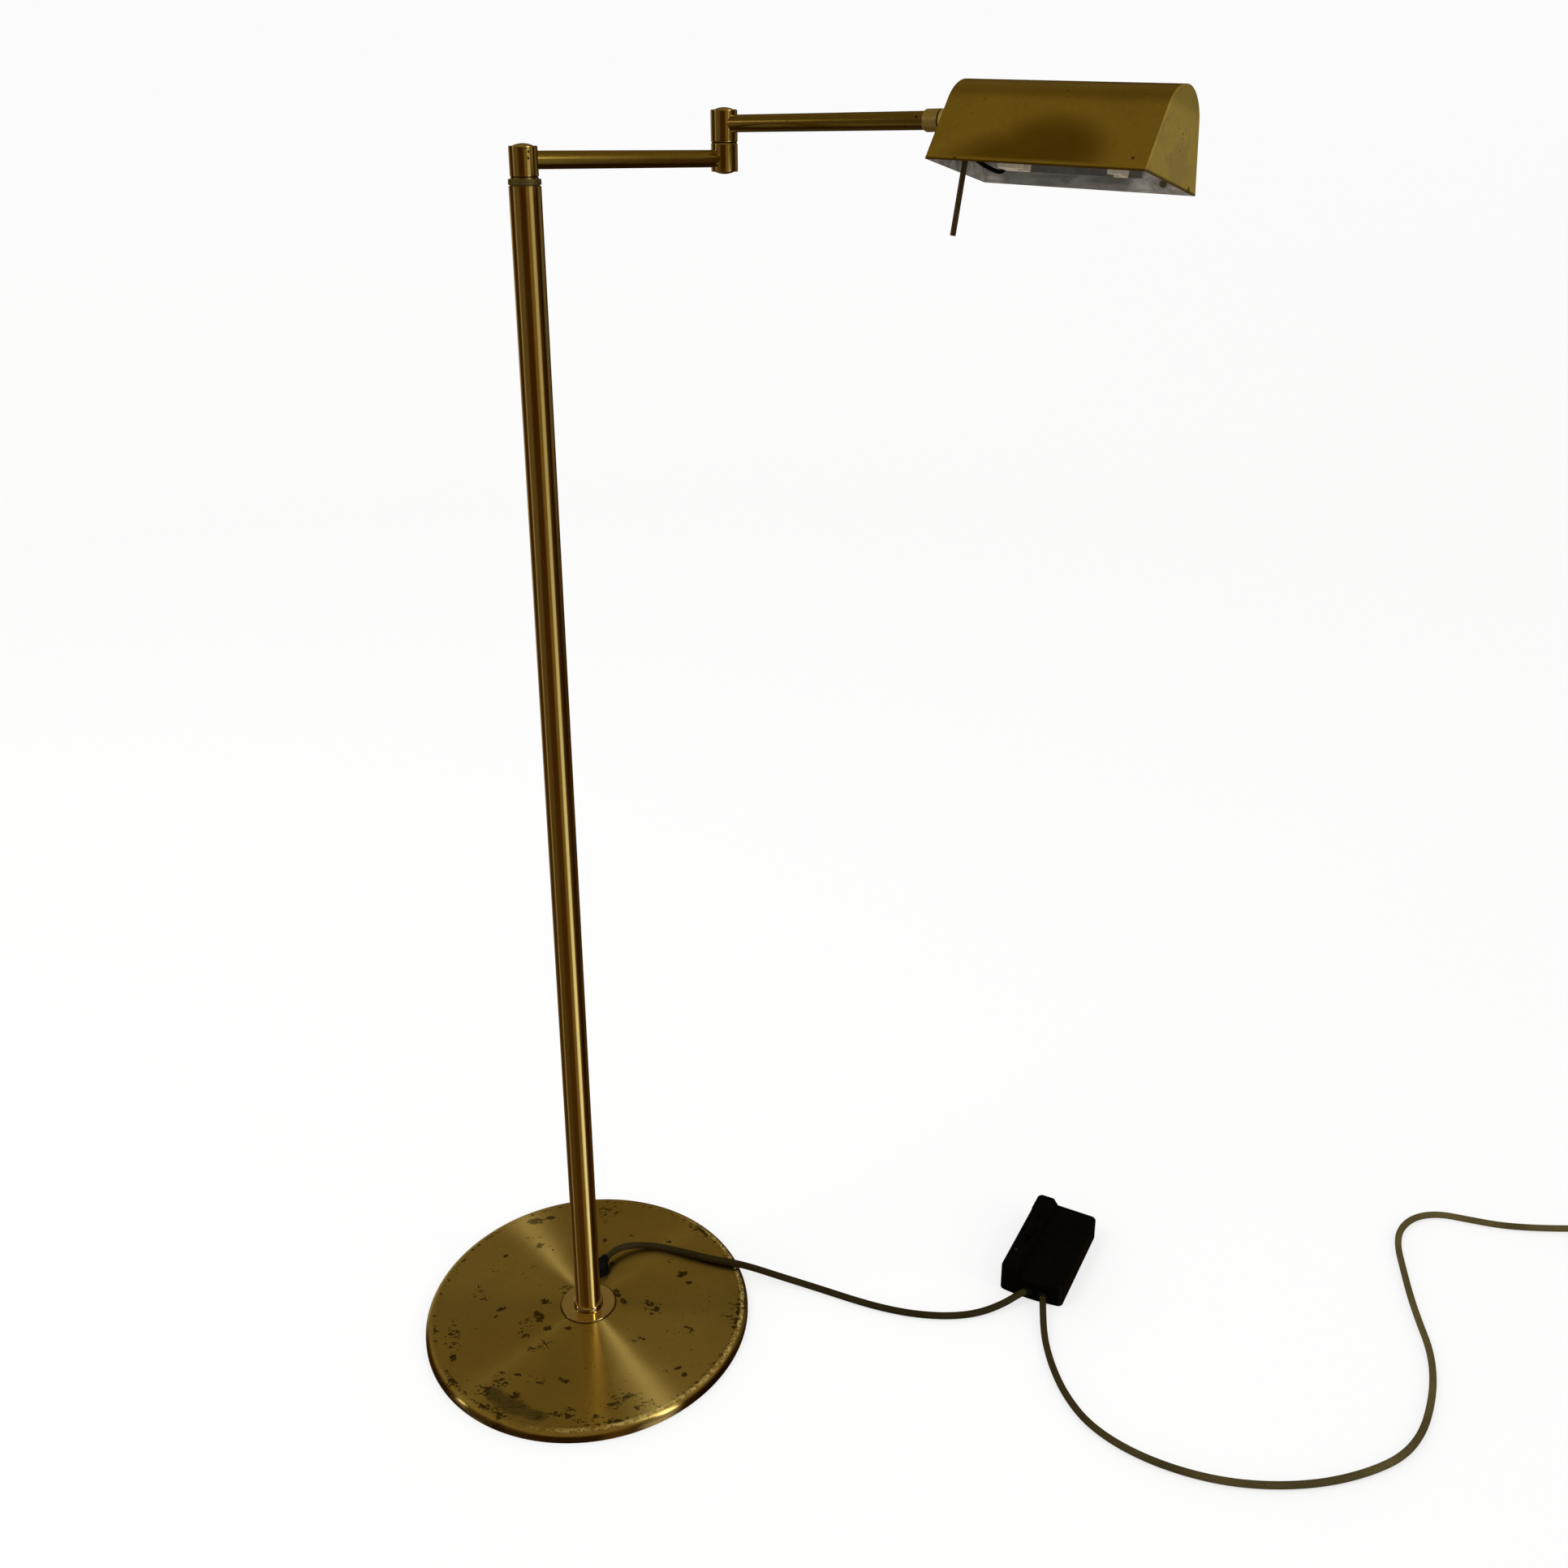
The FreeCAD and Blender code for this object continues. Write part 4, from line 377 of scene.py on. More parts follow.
# Shade, brass outside and painted inside
shadeLook = {
    "start": (0.29047, -0.02282, 0.98335),       # middle of the left end plate
    "heading": -35.9,
    "droop": 2.65,
    "roll": -11.05,
    "core": (0.0739, 0.0, -0.008),               # a place inside the trough, in the shade's own directions
    "bright": (0.76, 0.575, 0.128),
    "dull": (0.63, 0.465, 0.094),
    # colour of painted shade: a dark reflection on the front panel and the darker crown
    "tarnishAndPaintedShade": (0.28, 0.178, 0.014),
    "smear": (0.44, 0.30, 0.115),
    "stain": (0.16, 0.10, 0.035),
    "edge": (0.12, 0.065, 0.012),
    "paint": (0.36, 0.325, 0.280),
    "paintDull": (0.150, 0.130, 0.106),
    "middlePaint": (0.165, 0.148, 0.124),
    "middlePaintDull": (0.080, 0.070, 0.056),
    "roughness": 0.34,
    "crown": (0.008, 0.017),                     # heights in the shade's own directions
    "clear": (-0.0300, -0.0270),
    "lip": (-0.0296, -0.0304),
    "middle": [(0.006, 0.018), (0.110, 0.100)],  # between the reflector's ends, along the shade
    # patches of painted shade low on the front panel, a dark reflection
    "blotches": [(0.064, -0.034, 0.066, 0.030, 4), (0.082, -0.022, 0.046, 0.028, 0)],
    "dots": [(0.34567, -0.08383, 0.99954, 0.0008), (0.34600, -0.08410, 0.99880, 0.0006),
             (0.37566, -0.13675, 0.96102, 0.0013), (0.27958, -0.07157, 0.96100, 0.0012),
             (0.29157, -0.05883, 0.98731, 0.0005), (0.29027, -0.05443, 0.99175, 0.0004),
             (0.28308, -0.05810, 0.98097, 0.0004), (0.38618, -0.11467, 0.99614, 0.0005),
             (0.40713, -0.11336, 0.97742, 0.0008), (0.41326, -0.10481, 0.97661, 0.0008),
             (0.41138, -0.10723, 0.97431, 0.0009), (0.41116, -0.10729, 0.97170, 0.0007),
             (0.42146, -0.09072, 0.94160, 0.0030)],
}


def shadeTurn(look):
    return (Matrix.Rotation(math.radians(look["heading"]), 3, "Z")
            @ Matrix.Rotation(math.radians(look["droop"]), 3, "Y")
            @ Matrix.Rotation(math.radians(look["roll"]), 3, "X"))


def shadeBrass(look, name, metallic, soiledAndShaded):
    material, here = newMaterial(name)
    turn = shadeTurn(look)
    moved = here.shifted(look["start"])
    along, across, up = (moved.along(tuple(turn.col[k])) for k in range(3))
    core = Vector(look["start"]) + turn @ Vector(look["core"])
    inside = here.shifted(tuple(core)).along(facing(here)).smooth(0.0002, -0.0002)
    cloudy = here.noise(24.0, 5.0, 0.62)
    mottle = here.noise(300.0, 4.0, 0.65)
    speck = here.noise(760.0, 2.0, 0.5)
    spots = (here.noise(230.0, 3.0, 0.6, 1.0) + (cloudy - 0.5) * 0.20 + soiledAndShaded * 0.02).smooth(0.735, 0.755)
    spots = spots.larger(dots(here, look["dots"]))
    colour = (cloudy * 0.6 + mottle * 0.4).smooth(0.32, 0.66).mix(look["dull"], look["bright"])
    # painted shade: a dark reflection low on the front panel
    blotch = patches(bundle(along, up, along * 0.0), look["blotches"]) + (cloudy - 0.5) * 0.5
    blotch = blotch * across.smooth(0.0, -0.01) * up.smooth(*look["clear"])
    # painted shade: the crown darker for the dim room above it
    band = up.smooth(*look["crown"]) * 0.45
    colour = (blotch * 0.85).larger(band).mix(colour, look["tarnishAndPaintedShade"])
    colour = (cloudy.smooth(0.47, 0.60) * (0.45 * soiledAndShaded)).mix(colour, look["smear"])
    colour = (spots * 0.85).mix(colour, look["stain"])
    colour = (up.smooth(*look["lip"]) * 0.85).mix(colour, look["edge"])
    streaky = bundle(along * 0.35, across, up).noise(150.0, 5.0, 0.65, 0.6)
    worn = (streaky * 0.6 + cloudy * 0.4).smooth(0.38, 0.62)
    middle = along.smooth(*look["middle"][0]) * along.smooth(*look["middle"][1])
    painted = middle.mix(worn.mix(look["paintDull"], look["paint"]),
                         worn.mix(look["middlePaintDull"], look["middlePaint"]))
    colour = inside.mix(colour, painted)
    roughness = look["roughness"] + (mottle - 0.5) * 0.12 + (cloudy - 0.5) * 0.10 + spots * 0.2 + inside * 0.3
    height = mottle * 0.4 + speck * 0.2 - spots * 0.5 + inside * streaky
    return finishMaterial(material, here, {
        "Base Color": colour, "Roughness": roughness, "Metallic": (1.0 - inside) * metallic}, height, 0.00004)


# Plain metals, plastics and the rest
otherLooks = {
    "ironCast": {"light": (0.10, 0.095, 0.09), "dark": (0.045, 0.042, 0.04), "grain": 160.0,
                 "roughness": 0.62, "metallic": 0.7, "depth": 0.0003},
    "feltGreen": {"light": (0.060, 0.085, 0.050), "dark": (0.028, 0.045, 0.026), "grain": 1500.0,
                  "roughness": 0.95, "metallic": 0.0, "depth": 0.0004},
    "steelPlated": {"light": (0.60, 0.58, 0.54), "dark": (0.36, 0.34, 0.31), "grain": 300.0,
                    "roughness": 0.30, "metallic": 1.0, "depth": 0.00004},
    "reflectorSheet": {"light": (0.098, 0.086, 0.074), "dark": (0.062, 0.054, 0.046), "grain": 140.0,
                       "roughness": 0.48, "metallic": 0.25, "depth": 0.00008},
    # near black: the washers' own dark fibre with painted shade of the narrow gaps they sit in
    "fibreWasher": {"light": (0.0050, 0.0030, 0.0018), "dark": (0.0022, 0.0014, 0.0009), "grain": 900.0,
                    "roughness": 0.75, "specular": 0.1, "metallic": 0.0, "depth": 0.0001},
    "nylonGuide": {"light": (0.62, 0.60, 0.54), "dark": (0.48, 0.46, 0.40), "grain": 300.0, "roughness": 0.45,
                   "metallic": 0.0, "depth": 0.00003},
    "blackRubber": {"light": (0.0032, 0.0030, 0.0030), "dark": (0.0012, 0.0012, 0.0012), "grain": 500.0,
                    "roughness": 0.6, "specular": 0.08, "metallic": 0.0, "depth": 0.00006},
    "dimmerPlastic": {"light": (0.0011, 0.0010, 0.0008), "dark": (0.0005, 0.0004, 0.0003), "grain": 1100.0,
                      "roughness": 0.46, "specular": 0.07, "metallic": 0.0, "depth": 0.00006},
    "circuitBoard": {"light": (0.020, 0.022, 0.012), "dark": (0.009, 0.010, 0.006), "grain": 200.0,
                     "roughness": 0.5, "metallic": 0.0, "depth": 0.00004},
    "pinMetal": {"light": (0.78, 0.72, 0.58), "dark": (0.60, 0.54, 0.42), "grain": 380.0, "roughness": 0.24,
                 "metallic": 1.0, "depth": 0.00003},
    "porcelain": {"light": (0.50, 0.44, 0.32), "dark": (0.38, 0.32, 0.22), "grain": 260.0, "roughness": 0.42,
                  "metallic": 0.0, "depth": 0.00006},
    "plugPlastic": {"light": (0.062, 0.043, 0.020), "dark": (0.040, 0.027, 0.012), "grain": 700.0,
                    "roughness": 0.45, "metallic": 0.0, "depth": 0.00006},
}


def otherFinish(name, look):
    material, here = newMaterial(name)
    coarse = here.noise(look["grain"] * 0.12, 4.0, 0.6)
    grain = here.noise(look["grain"], 4.0, 0.62)
    scuff = here.noise(look["grain"] * 0.4, 3.0, 0.6, 1.5).smooth(0.62, 0.76)
    colour = (coarse * 0.55 + grain * 0.45).smooth(0.35, 0.65).mix(look["dark"], look["light"])
    roughness = look["roughness"] + (grain - 0.5) * 0.14 + (coarse - 0.5) * 0.12 + scuff * 0.08
    return finishMaterial(material, here, {
        "Base Color": colour, "Roughness": roughness, "Metallic": look["metallic"],
        "Specular IOR Level": look.get("specular", 0.5)}, grain + scuff * 0.2, look["depth"])


pvcLook = {                                      # each colour light, then dark
    "soiledAndShaded": [(0.024, 0.0155, 0.0020), (0.014, 0.0090, 0.0012)],
    "paintedLit": [(0.098, 0.074, 0.022), (0.056, 0.040, 0.011)],
    "paintedLitReach": (0.28, 0.75),                        # metres from the pole over which the cord gets paler, as painted light where it lies in the open
}


def cordPvc(name, look):
    material, here = newMaterial(name)
    drift = here.noise(18.0, 4.0, 0.6)
    dust = here.noise(900.0, 3.0, 0.6)
    worn = (drift * 0.65 + dust * 0.35).smooth(0.35, 0.66)
    soiledAndShaded, paintedLit = (worn.mix(look[key][1], look[key][0]) for key in ("soiledAndShaded", "paintedLit"))
    # painted light: the cord turns paler away from the pole
    colour = here.length().smooth(*look["paintedLitReach"]).mix(soiledAndShaded, paintedLit)
    roughness = 0.44 + (dust - 0.5) * 0.18 + (drift - 0.5) * 0.12
    return finishMaterial(material, here, {
        "Base Color": colour, "Roughness": roughness, "Specular IOR Level": 0.16},
        dust + drift * 0.5, 0.00003)


def lampGlass():
    material, here = newMaterial("lampGlass")
    cloud = here.noise(240.0, 3.0, 0.6)
    colour = cloud.smooth(0.40, 0.62).mix((0.86, 0.86, 0.82), (0.96, 0.96, 0.94))
    return finishMaterial(material, here, {
        "Base Color": colour, "Roughness": 0.05 + cloud * 0.10, "Transmission Weight": 0.75, "IOR": 1.46},
        cloud, 0.00002)


def lensLight():
    material, here = newMaterial("lensLight")
    cloud = here.noise(900.0, 3.0, 0.6)
    colour = cloud.smooth(0.3, 0.7).mix((0.004, 0.004, 0.003), (0.010, 0.009, 0.008))
    return finishMaterial(material, here, {
        "Base Color": colour, "Roughness": 0.25 + cloud * 0.1, "Specular IOR Level": 0.25}, cloud, 0.00002)


brass = {name: tubeBrass(name, look) for name, look in tubeLooks.items()}
other = {name: otherFinish(name, look) for name, look in otherLooks.items()}
olivePvc = cordPvc("cordOlive", pvcLook)

give(baseBrass(baseLook), "base_shell")
give(brass["polishedBrass"], "flange_washer", "pole_bead_ring")
give(brass["poleBrass"], "pole_tube", "inner_tube")
give(brass["lowerArmBrass"], "lower_arm_tube")
give(brass["upperArmBrass"], "upper_arm_tube")
give(brass["knuckleBrass"], "pole_knuckle", "pole_knuckle_cap", "elbow_lower_knuckle", "elbow_lower_cap",
     "elbow_upper_knuckle", "elbow_upper_cap")
give(brass["sleeveBrass"], "swivel_sleeve")
give(brass["rodBrass"], "rod_handle", "rod_lug")
give(brass["ringBrass"], "clamp_ring", "pole_collet", "inner_tube_plug", "pole_foot_plug")
give(shadeBrass(shadeLook, "shadeBrass", 1.0, 0.0), "shade_shell", "shade_cap_left")
give(shadeBrass(shadeLook, "shadeEndBrass", 0.82, 1.0), "shade_cap_right", "shade_boss")
give(other["ironCast"], "base_weight")
give(other["feltGreen"], "base_felt")
give(other["steelPlated"], "foot_nipple", "foot_nut", "pole_pivot_nipple", "pole_pivot_fixings",
     "elbow_nipple", "elbow_fixings", "swivel_nipple", "swivel_fixings", "shade_screws", "lamp_bracket",
     "dimmer_screws")
give(other["reflectorSheet"], "reflector")
give(other["fibreWasher"], "pole_pivot_washer", "elbow_washer", "swivel_washer")
give(other["nylonGuide"], "inner_guide")
give(other["blackRubber"], "cord_grommet", "dimmer_feet", "dimmer_bushes", "lamp_lead")
give(other["dimmerPlastic"], "dimmer_top", "dimmer_bottom", "dimmer_slider")
give(other["circuitBoard"], "dimmer_board", "dimmer_track")
give(other["pinMetal"], "plug_pins")
give(other["porcelain"], "lamp_holders")
give(other["plugPlastic"], "plug_body")
give(lampGlass(), "halogen_lamp")
give(lensLight(), "dimmer_lens")
for name in ("base_shell", "base_weight", "base_felt", "flange_washer"):
    nodes[name].visible_glossy = False           # the pole's foot mirrors the room, not the dish
print("finishes given")


# Cords, laid along the same routes as the CAD tubes
cordLook = {
    "diameter": 0.0058,
    "floor": 0.00295,                            # height of a lying cord's middle
    "hidden": 0.002,                             # how far each cord starts inside its bush
    "exitOne": (0.010253, 0.046788, 0.017223),
    "exitTwo": (0.399588, 0.005520, 0.0084),
    "routeOne": [
        (0.01528, 0.05425, 0.01754), (0.0229, 0.0613, 0.0166), (0.0320, 0.0659, 0.0148),
        (0.0421, 0.0680, 0.0131), (0.0538, 0.0676, 0.01225), (0.0690, 0.0637, 0.0121),
        (0.0880, 0.0572, 0.0121), (0.1090, 0.0502, 0.0120), (0.1280, 0.0458, 0.0119),
        (0.1460, 0.0410, 0.0102), (0.1650, 0.0366, 0.0064), (0.1850, 0.0310, 0.0036),
        (0.2080, 0.0216, 0.00295), (0.2320, 0.0106, 0.00295), (0.2570, 0.0006, 0.00295),
        (0.2830, -0.0066, 0.00295), (0.3090, -0.0096, 0.00295), (0.3300, -0.0084, 0.00295),
        (0.3455, -0.0046, 0.00315), (0.3570, -0.0006, 0.0043), (0.3683, 0.0042, 0.0060),
        (0.3796, 0.01032, 0.0084), (0.385231, 0.013565, 0.0084)],
    "routeTwo": [
        (0.39866, -0.00091, 0.0084), (0.3969, -0.0135, 0.0062), (0.3953, -0.0270, 0.0042),
        (0.3945, -0.0440, 0.00305), (0.3960, -0.0690, 0.00295), (0.4015, -0.0970, 0.00295),
        (0.4140, -0.1250, 0.00295), (0.4380, -0.1490, 0.00295), (0.4700, -0.1675, 0.00295),
        (0.5070, -0.1796, 0.00295), (0.5450, -0.1836, 0.00295), (0.5840, -0.1810, 0.00295),
        (0.6210, -0.1716, 0.00295), (0.6530, -0.1574, 0.00295), (0.6770, -0.1356, 0.00295),
        (0.6950, -0.1085, 0.00295), (0.7095, -0.0795, 0.00295), (0.7190, -0.0490, 0.00295),
        (0.7226, -0.0175, 0.00295), (0.7276, 0.0145, 0.00295), (0.7346, 0.0470, 0.00295),
        (0.7410, 0.0760, 0.00295), (0.7520, 0.0980, 0.00295), (0.7720, 0.1145, 0.00295),
        (0.7970, 0.1190, 0.00295), (0.8220, 0.1108, 0.00295), (0.8500, 0.1020, 0.00295),
        (0.8860, 0.0983, 0.00295), (0.9252, 0.0978, 0.00295), (0.949202, 0.097152, 0.00295)],
    "coil": {"start": (0.955, 0.097), "turns": 4.25, "mean": 0.032, "pitch": 0.0064, "layer": 0.0063,
             "perTurn": 16},
    "tail": [(-0.0002, -0.006, 0.0), (0.0003, -0.019, 0.1), (-0.0009, -0.034, 0.55), (-0.0016, -0.049, 0.95),
             (-0.0015, -0.063, 1.0)],            # steps from coil to plug, with their share of the drop
    "tie": {"heading": 200, "wide": 0.0095, "high": 0.0126, "band": 0.007, "sheet": 0.0007, "round": 0.45,
            "steps": 40, "clear": 0.0002, "lift": 0.0001, "bevel": 0.0002, "tongue": 0.011, "tongueSteps": 6,
            "tongueAt": 0.25, "tongueLift": 0.0003, "arch": 0.0008, "taper": (0.96, 0.7)},
}
curveLook = {"order": 3, "steps": 6, "sides": 5}


def coilPoints(coil, height):                    # clockwise, in on the floor and out again above
    middle = coil["turns"] * math.pi
    count = round(coil["turns"] * coil["perTurn"])
    points = []
    for k in range(count + 1):
        turned = 2 * middle * k / count
        radius = coil["mean"] + coil["pitch"] * (abs(turned - middle) - middle / 2) / (2 * math.pi)
        radius /= math.cos(math.pi / coil["perTurn"]) ** 0.5
        climb = max(-1.0, min(1.0, (turned - middle) / (math.pi / 2)))
        lift = coil["layer"] / 2 * (1 + math.sin(climb * math.pi / 2))
        angle = math.pi / 2 - turned
        points.append(Vector((math.cos(angle) * radius, math.sin(angle) * radius, height + lift)))
    shift = Vector((coil["start"][0], coil["start"][1] - points[0].y, 0.0))
    return [p + shift for p in points]


def cordCurve(name, points, radius, material):
    data = bpy.data.curves.new(name, "CURVE")
    data.dimensions = "3D"
    data.resolution_u = curveLook["steps"]
    data.bevel_depth = radius
    data.bevel_resolution = curveLook["sides"]
    data.use_fill_caps = True
    spline = data.splines.new("NURBS")
    spline.points.add(len(points) - 1)
    for point, place in zip(spline.points, points):
        point.co = (*place, 1.0)
    spline.order_u = curveLook["order"]
    spline.use_endpoint_u = True
    data.materials.append(material)
    return addPiece(name, data)


def boxRows(mesh, rows):                         # side faces between rows of four corners
    for one, two in rows:
        for j in range(4):
            mesh.faces.new((one[j], one[(j + 1) % 4], two[(j + 1) % 4], two[j]))


def coilTie(look):                               # soft band round the coil's turns, its tongue laid outward
    low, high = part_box("cord_coil")
    middle, outer = (low + high) / 2, (high.y - low.y) / 2
    a = math.radians(look["heading"])
    out, onward = Vector((math.cos(a), math.sin(a), 0.0)), Vector((-math.sin(a), math.cos(a), 0.0))
    centre = Vector((middle.x, middle.y, 0.0)) + out * (outer - look["wide"] - look["clear"])
    path = []
    for k in range(look["steps"]):
        t = 2 * math.pi * k / look["steps"]
        u = math.copysign(abs(math.cos(t)) ** look["round"], math.cos(t))
        v = math.copysign(abs(math.sin(t)) ** look["round"], math.sin(t))
        path.append(centre + out * (look["wide"] * u)
                    + Vector((0.0, 0.0, look["high"] / 2 * (1 + v) + look["lift"])))
    mesh = bmesh.new()
    rows = []
    core = centre + Vector((0.0, 0.0, look["high"] / 2))
    for place in path:
        inward = (core - place).normalized() * look["sheet"]
        half = onward * (look["band"] / 2)
        rows.append([mesh.verts.new(p) for p in (place - half, place + half, place + half + inward,
                                                 place - half + inward)])
    boxRows(mesh, zip(rows, rows[1:] + rows[:1]))
    tip = (centre + out * (look["wide"] * look["tongueAt"])
           + Vector((0.0, 0.0, look["high"] + look["tongueLift"])))
    rise = Vector((0.0, 0.0, look["sheet"]))
    steps = look["tongueSteps"]
    tongue = []
    for k in range(steps + 1):                   # the free end lies over the band
        share = k / steps - 0.5
        half = onward * (look["band"] / 2 * look["taper"][k == steps])
        arch = look["arch"] * (1 - (2 * abs(share)) ** 3)
        spot = tip + out * (look["tongue"] * share) + Vector((0.0, 0.0, arch))
        tongue.append([mesh.verts.new(p) for p in (spot - half, spot + half, spot + half + rise,
                                                   spot - half + rise)])
    boxRows(mesh, zip(tongue, tongue[1:]))
    mesh.faces.new(tongue[0])
    mesh.faces.new(tongue[-1][::-1])
    bmesh.ops.recalc_face_normals(mesh, faces=mesh.faces)
    tie = addPiece("coilTie", meshData("coilTie", mesh, other["blackRubber"]))
    edges = tie.modifiers.new("edges", "BEVEL")
    edges.width, edges.segments = look["bevel"], 2
    return tie


def cordStart(look, end):                        # a place inside the bush, then the route
    start, route = Vector(look["exit" + end]), look["route" + end]
    inward = (start - Vector(route[0])).normalized()
    return [start + inward * look["hidden"], *route]


def makeCords(look):
    radius = look["diameter"] / 2
    first = cordCurve("dimmerLead", cordStart(look, "One"), radius, olivePvc)
    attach(first, "stand")
    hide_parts("cord_to_dimmer")

    coil = coilPoints(look["coil"], look["floor"])
    plugLow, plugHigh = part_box("plug_body")
    drop = coil[-1].z - (plugLow.z + plugHigh.z) / 2
    tail = [coil[-1] + Vector((x, y, -drop * share)) for x, y, share in look["tail"]]
    second = cordCurve("wallLead", [*cordStart(look, "Two"), *coil, *tail], radius, olivePvc)
    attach(second, "stand")
    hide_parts("cord_to_wall", "cord_coil", "cord_tail")
    tie = coilTie(look["tie"])
    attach(tie, "stand")


makeCords(cordLook)
print("cords laid")


# Black sleeved lead from the shade's left end down to the near holder, in the shade's own directions
leadLook = {
    "radius": 0.0014,
    "route": [(0.0014, -0.0072, -0.0106), (0.0060, -0.0056, -0.0165), (0.0130, 0.0004, -0.0236),
              (0.0205, 0.0055, -0.0272), (0.0282, 0.0064, -0.0296), (0.0322, 0.0050, -0.0283),
              (0.0336, 0.0030, -0.0262)],
}


def makeLead(look):
    turn, start = shadeTurn(shadeLook), Vector(shadeLook["start"])
    route = [start + turn @ Vector(place) for place in look["route"]]
    lead = cordCurve("leadSleeve", route, look["radius"], other["blackRubber"])
    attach(lead, "shade")
    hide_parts("lamp_lead")


makeLead(leadLook)
print("lead laid")


# Floor, room and light
studioLook = {
    "floor": (0.90, 0.90, 0.90),
    "glow": 0.97,
    "lit": 0.70,
    "rings": (0.0, 1.0, 2.2, 3.2),               # distances from the pole on the flat floor
    "wallReach": 4.8,
    "wallTop": 4.0,
    "ceiling": [(3.6, 5.0), (0.0, 5.3)],         # distance and height
    "wallRise": 1.2,                             # height at which the wall glows in full
    "sides": 96,
    "bendSteps": 12,
    "sunk": 0.0002,
}
roomLook = {                                     # the steps are sines of heights above the horizon
    "low": (0.055, 0.026, 0.006),
    "level": (0.040, 0.018, 0.003),
    "high": (0.176, 0.134, 0.056),
    "top": (0.105, 0.076, 0.026),
    "levelStep": (-0.6, -0.1),
    "highStep": (0.36, 0.60),
    "topStep": (0.85, 0.97),
    "belowStep": (-0.68, -0.12),
    "lowSoft": 6,
    "highSoft": 8,
}
windowLooks = [                                  # bright and dark places in the room, in degrees
    {"heading": -66, "half": 8, "soft": 6, "low": -85, "high": 14, "colour": (0.17, 0.11, 0.030)},
    {"heading": -40, "half": 11.5, "soft": 5, "low": -40, "high": 13, "colour": (0.43, 0.40, 0.295),
     "below": (0.92, 0.95, 0.84)},
    {"heading": -34, "half": 9, "soft": 4, "low": -88, "high": -34, "colour": (1.00, 1.02, 0.90)},
    {"heading": 10, "half": 16, "soft": 8, "low": -88, "high": 8, "colour": (0.018, 0.008, 0.001)},
    {"heading": -148, "half": 24, "soft": 8, "low": -85, "high": 13, "colour": (0.100, 0.072, 0.032),
     "below": (0.070, 0.044, 0.012)},
    {"heading": -168, "half": 3, "soft": 2.5, "low": -85, "high": 10, "colour": (0.32, 0.29, 0.22)},
    {"heading": -169, "half": 2.5, "soft": 1.5, "low": 13, "high": 20, "colour": (4.8, 4.5, 3.5)},
    {"heading": -94, "half": 30, "soft": 14, "low": 17, "high": 32, "colour": (0.32, 0.24, 0.075)},
    {"heading": 36, "half": 15, "soft": 8, "low": -14, "high": 14, "colour": (0.12, 0.098, 0.055)},
    {"heading": -33.5, "half": 4.5, "soft": 2.5, "low": 16, "high": 44, "colour": (5.8, 5.5, 4.4)},
    {"heading": -23, "half": 9, "soft": 6, "low": 54, "high": 76, "colour": (1.9, 1.72, 1.22)},
    {"heading": 122, "half": 18, "soft": 9, "low": -60, "high": 16, "colour": (0.36, 0.315, 0.22),
     "below": (0.12, 0.088, 0.034)},
]
stripLook = {"cone": (0.0, 1.0, 0.0), "at": 0.735, "half": 0.085, "toward": (1.0, 0.0, 0.0),
             "towardStep": (0.10, 0.25), "riseStep": (0.02, 0.10), "share": 0.97}
keyLight = {"place": (-1.5, -0.7, 2.3), "aim": (0.3, 0.0, 0.2), "size": 0.9, "power": 16.0,
            "colour": (1.0, 0.99, 0.98)}


# Soft step at a height in degrees, falling when soft is below 0
def stepAt(rise, middle, soft):
    return rise.smooth(math.sin(math.radians(middle - soft)), math.sin(math.radians(middle + soft)))


def makeRoom(look, windows, band):               # what the metal mirrors
    world = bpy.data.worlds.new("room")
    way = coordinate(emptyTree(world), "Generated")
    rise = way.along((0.0, 0.0, 1.0))
    level = way.stretch((1.0, 1.0, 0.0)).unit()
    colour = rise.smooth(*look["levelStep"]).mix(look["low"], look["level"])
    colour = rise.smooth(*look["highStep"]).mix(colour, look["high"])
    colour = rise.smooth(*look["topStep"]).mix(colour, look["top"])
    for one in windows:
        a = math.radians(one["heading"])
        toward = level.along((math.cos(a), math.sin(a), 0.0))
        mask = toward.smooth(math.cos(math.radians(one["half"] + one["soft"])),
                             math.cos(math.radians(one["half"] - one["soft"])))
        mask = mask * stepAt(rise, one["low"], look["lowSoft"]) * stepAt(rise, one["high"], -look["highSoft"])
        shine = one["colour"]
        if "below" in one:
            shine = rise.smooth(*look["belowStep"]).mix(one["below"], shine)
        colour = mask.mix(colour, shine)
    strip = (way.along(band["cone"]) - band["at"]).absolute().smooth(band["half"], 0.0)
    strip = strip * way.along(band["toward"]).smooth(*band["towardStep"]) * rise.smooth(*band["riseStep"])
    colour = (strip * band["share"]).mix(colour, (0.0, 0.0, 0.0))
    glow = way.make("ShaderNodeBackground", {}, {"Color": colour, "Strength": 1.0})
    way.make("ShaderNodeOutputWorld", {}, {"Surface": glow}, None)
    bpy.context.scene.world = world


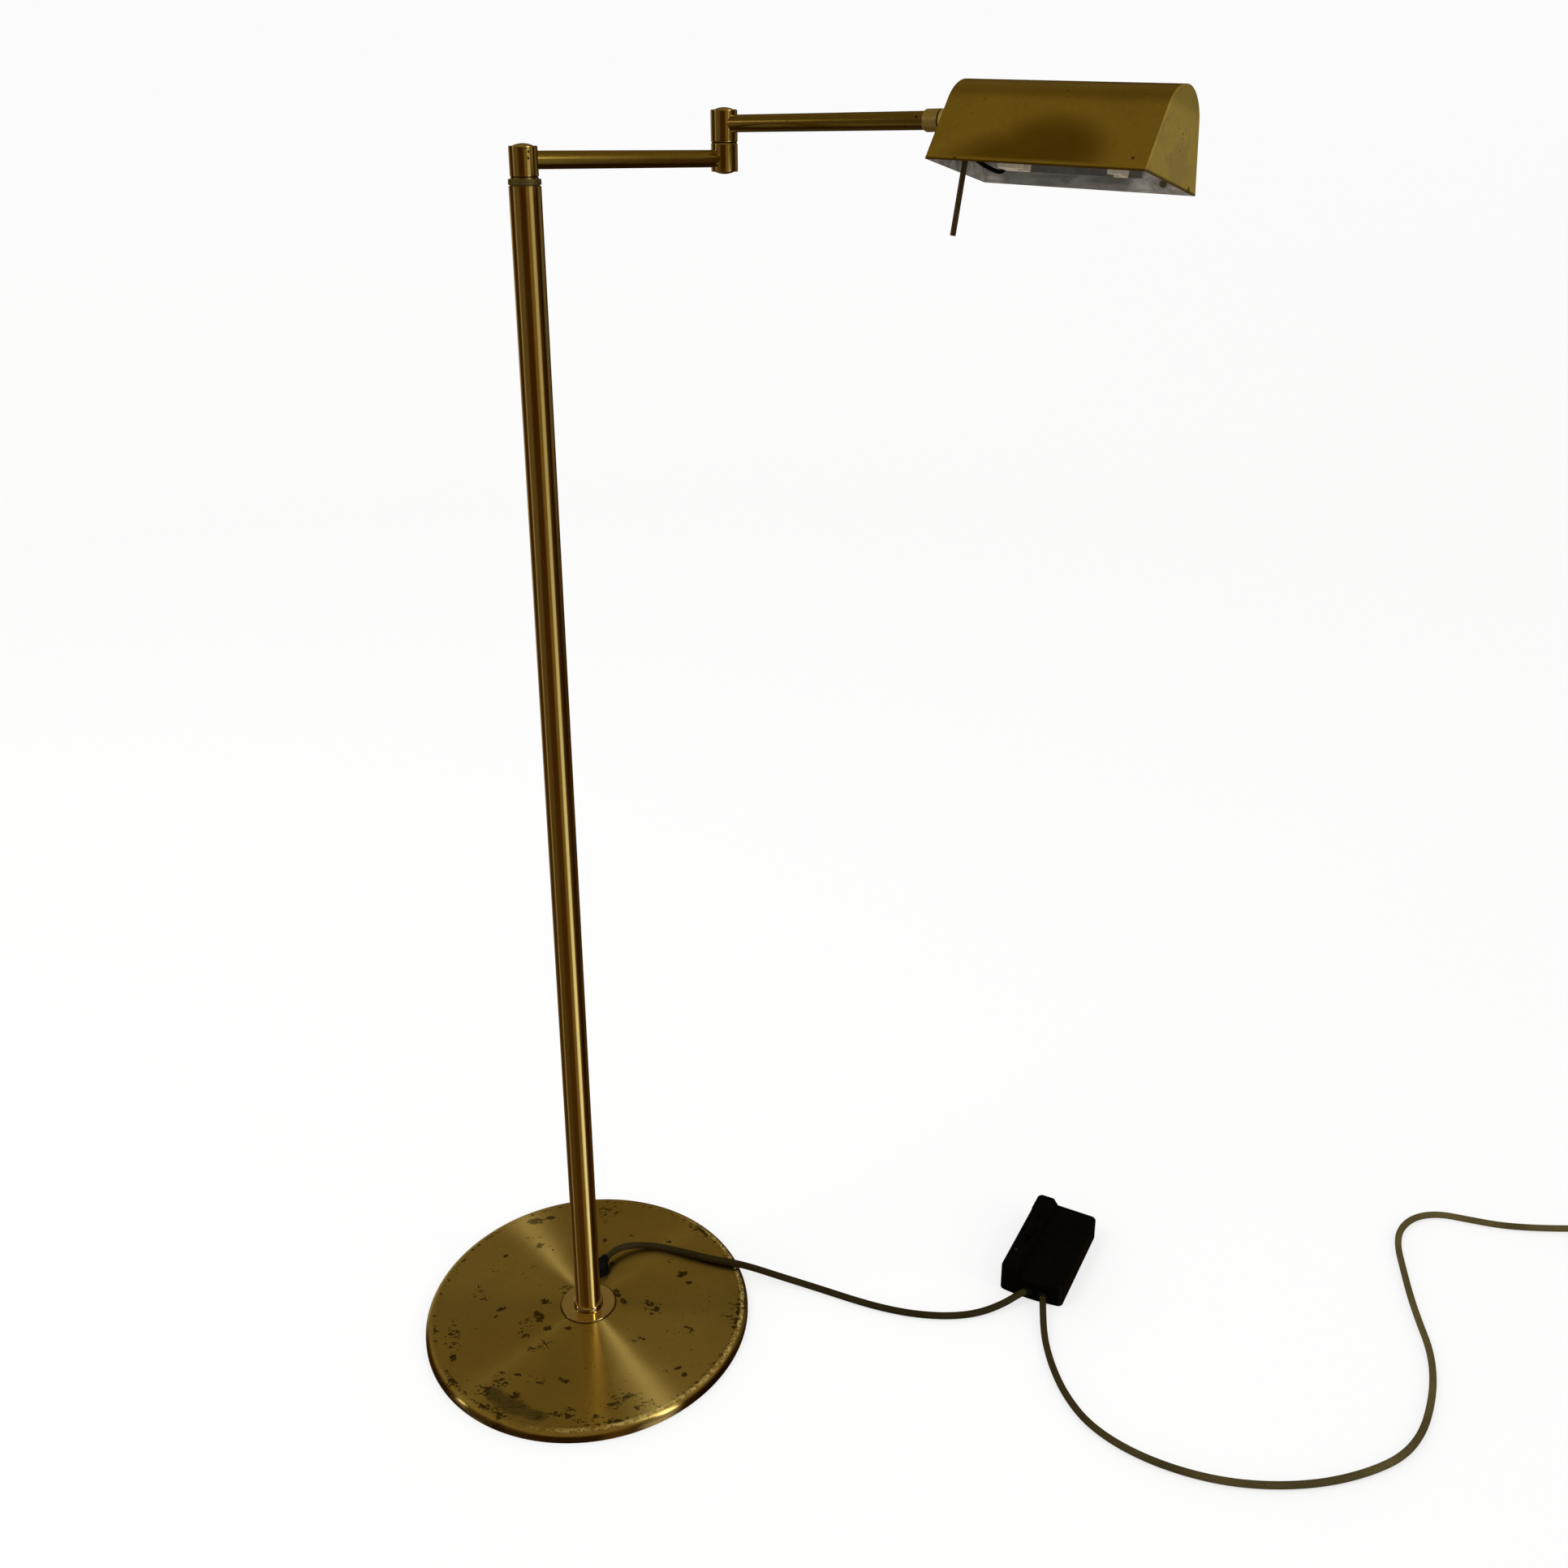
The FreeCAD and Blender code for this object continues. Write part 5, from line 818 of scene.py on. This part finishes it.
def makeStudio(look):                            # pale floor that sweeps up into a pale wall and ceiling
    profile = [(ring, 0.0) for ring in look["rings"]]
    flat = look["rings"][-1]
    span = look["wallReach"] - flat
    for k in range(1, look["bendSteps"] + 1):
        a = math.pi / 2 * k / look["bendSteps"]
        profile.append((flat + span * math.sin(a), span * (1 - math.cos(a))))
    profile += [(look["wallReach"], look["wallTop"]), *look["ceiling"]]
    mesh = bmesh.new()
    count = look["sides"]
    rows = []
    for reach, height in profile:
        turns = [2 * math.pi * k / count for k in range(count if reach else 1)]
        rows.append([mesh.verts.new((reach * math.cos(turn), reach * math.sin(turn), height - look["sunk"]))
                     for turn in turns])
    for low, high in zip(rows, rows[1:]):
        for k in range(count):
            corners = [low[k % len(low)], low[(k + 1) % len(low)],
                       high[(k + 1) % len(high)], high[k % len(high)]]
            mesh.faces.new(list(dict.fromkeys(corners)))
    material, here = newMaterial("studioPale")
    wall = here.along((0.0, 0.0, 1.0)).smooth(0.0, look["wallRise"])
    lit = here.make("ShaderNodeEmission", {}, {"Color": (1.0, 1.0, 1.0), "Strength": look["glow"]})
    matt = here.make("ShaderNodeBsdfDiffuse", {}, {"Color": look["floor"]})
    share = look["lit"] + wall * (1.0 - look["lit"])
    both = here.make("ShaderNodeMixShader", {}, {0: share, 1: matt, 2: lit})
    here.make("ShaderNodeOutputMaterial", {}, {"Surface": both}, None)
    sweep = addPiece("studioSweep", meshData("studioSweep", mesh, material))
    sweep.visible_glossy = False
    sweep.visible_shadow = False


def makeLight(name, look):
    data = bpy.data.lights.new(name, "AREA")
    data.shape = "DISK"
    data.size = look["size"]
    data.energy = look["power"]
    data.color = look["colour"]
    light = addPiece(name, data)
    aim = Vector(look["aim"]) - Vector(look["place"])
    light.rotation_euler = aim.to_track_quat("-Z", "Y").to_euler()
    light.location = look["place"]
    light.visible_glossy = False


makeRoom(roomLook, windowLooks, stripLook)
makeStudio(studioLook)
makeLight("keyLight", keyLight)
bpy.context.scene.view_settings.view_transform = "Standard"
print("studio ready")
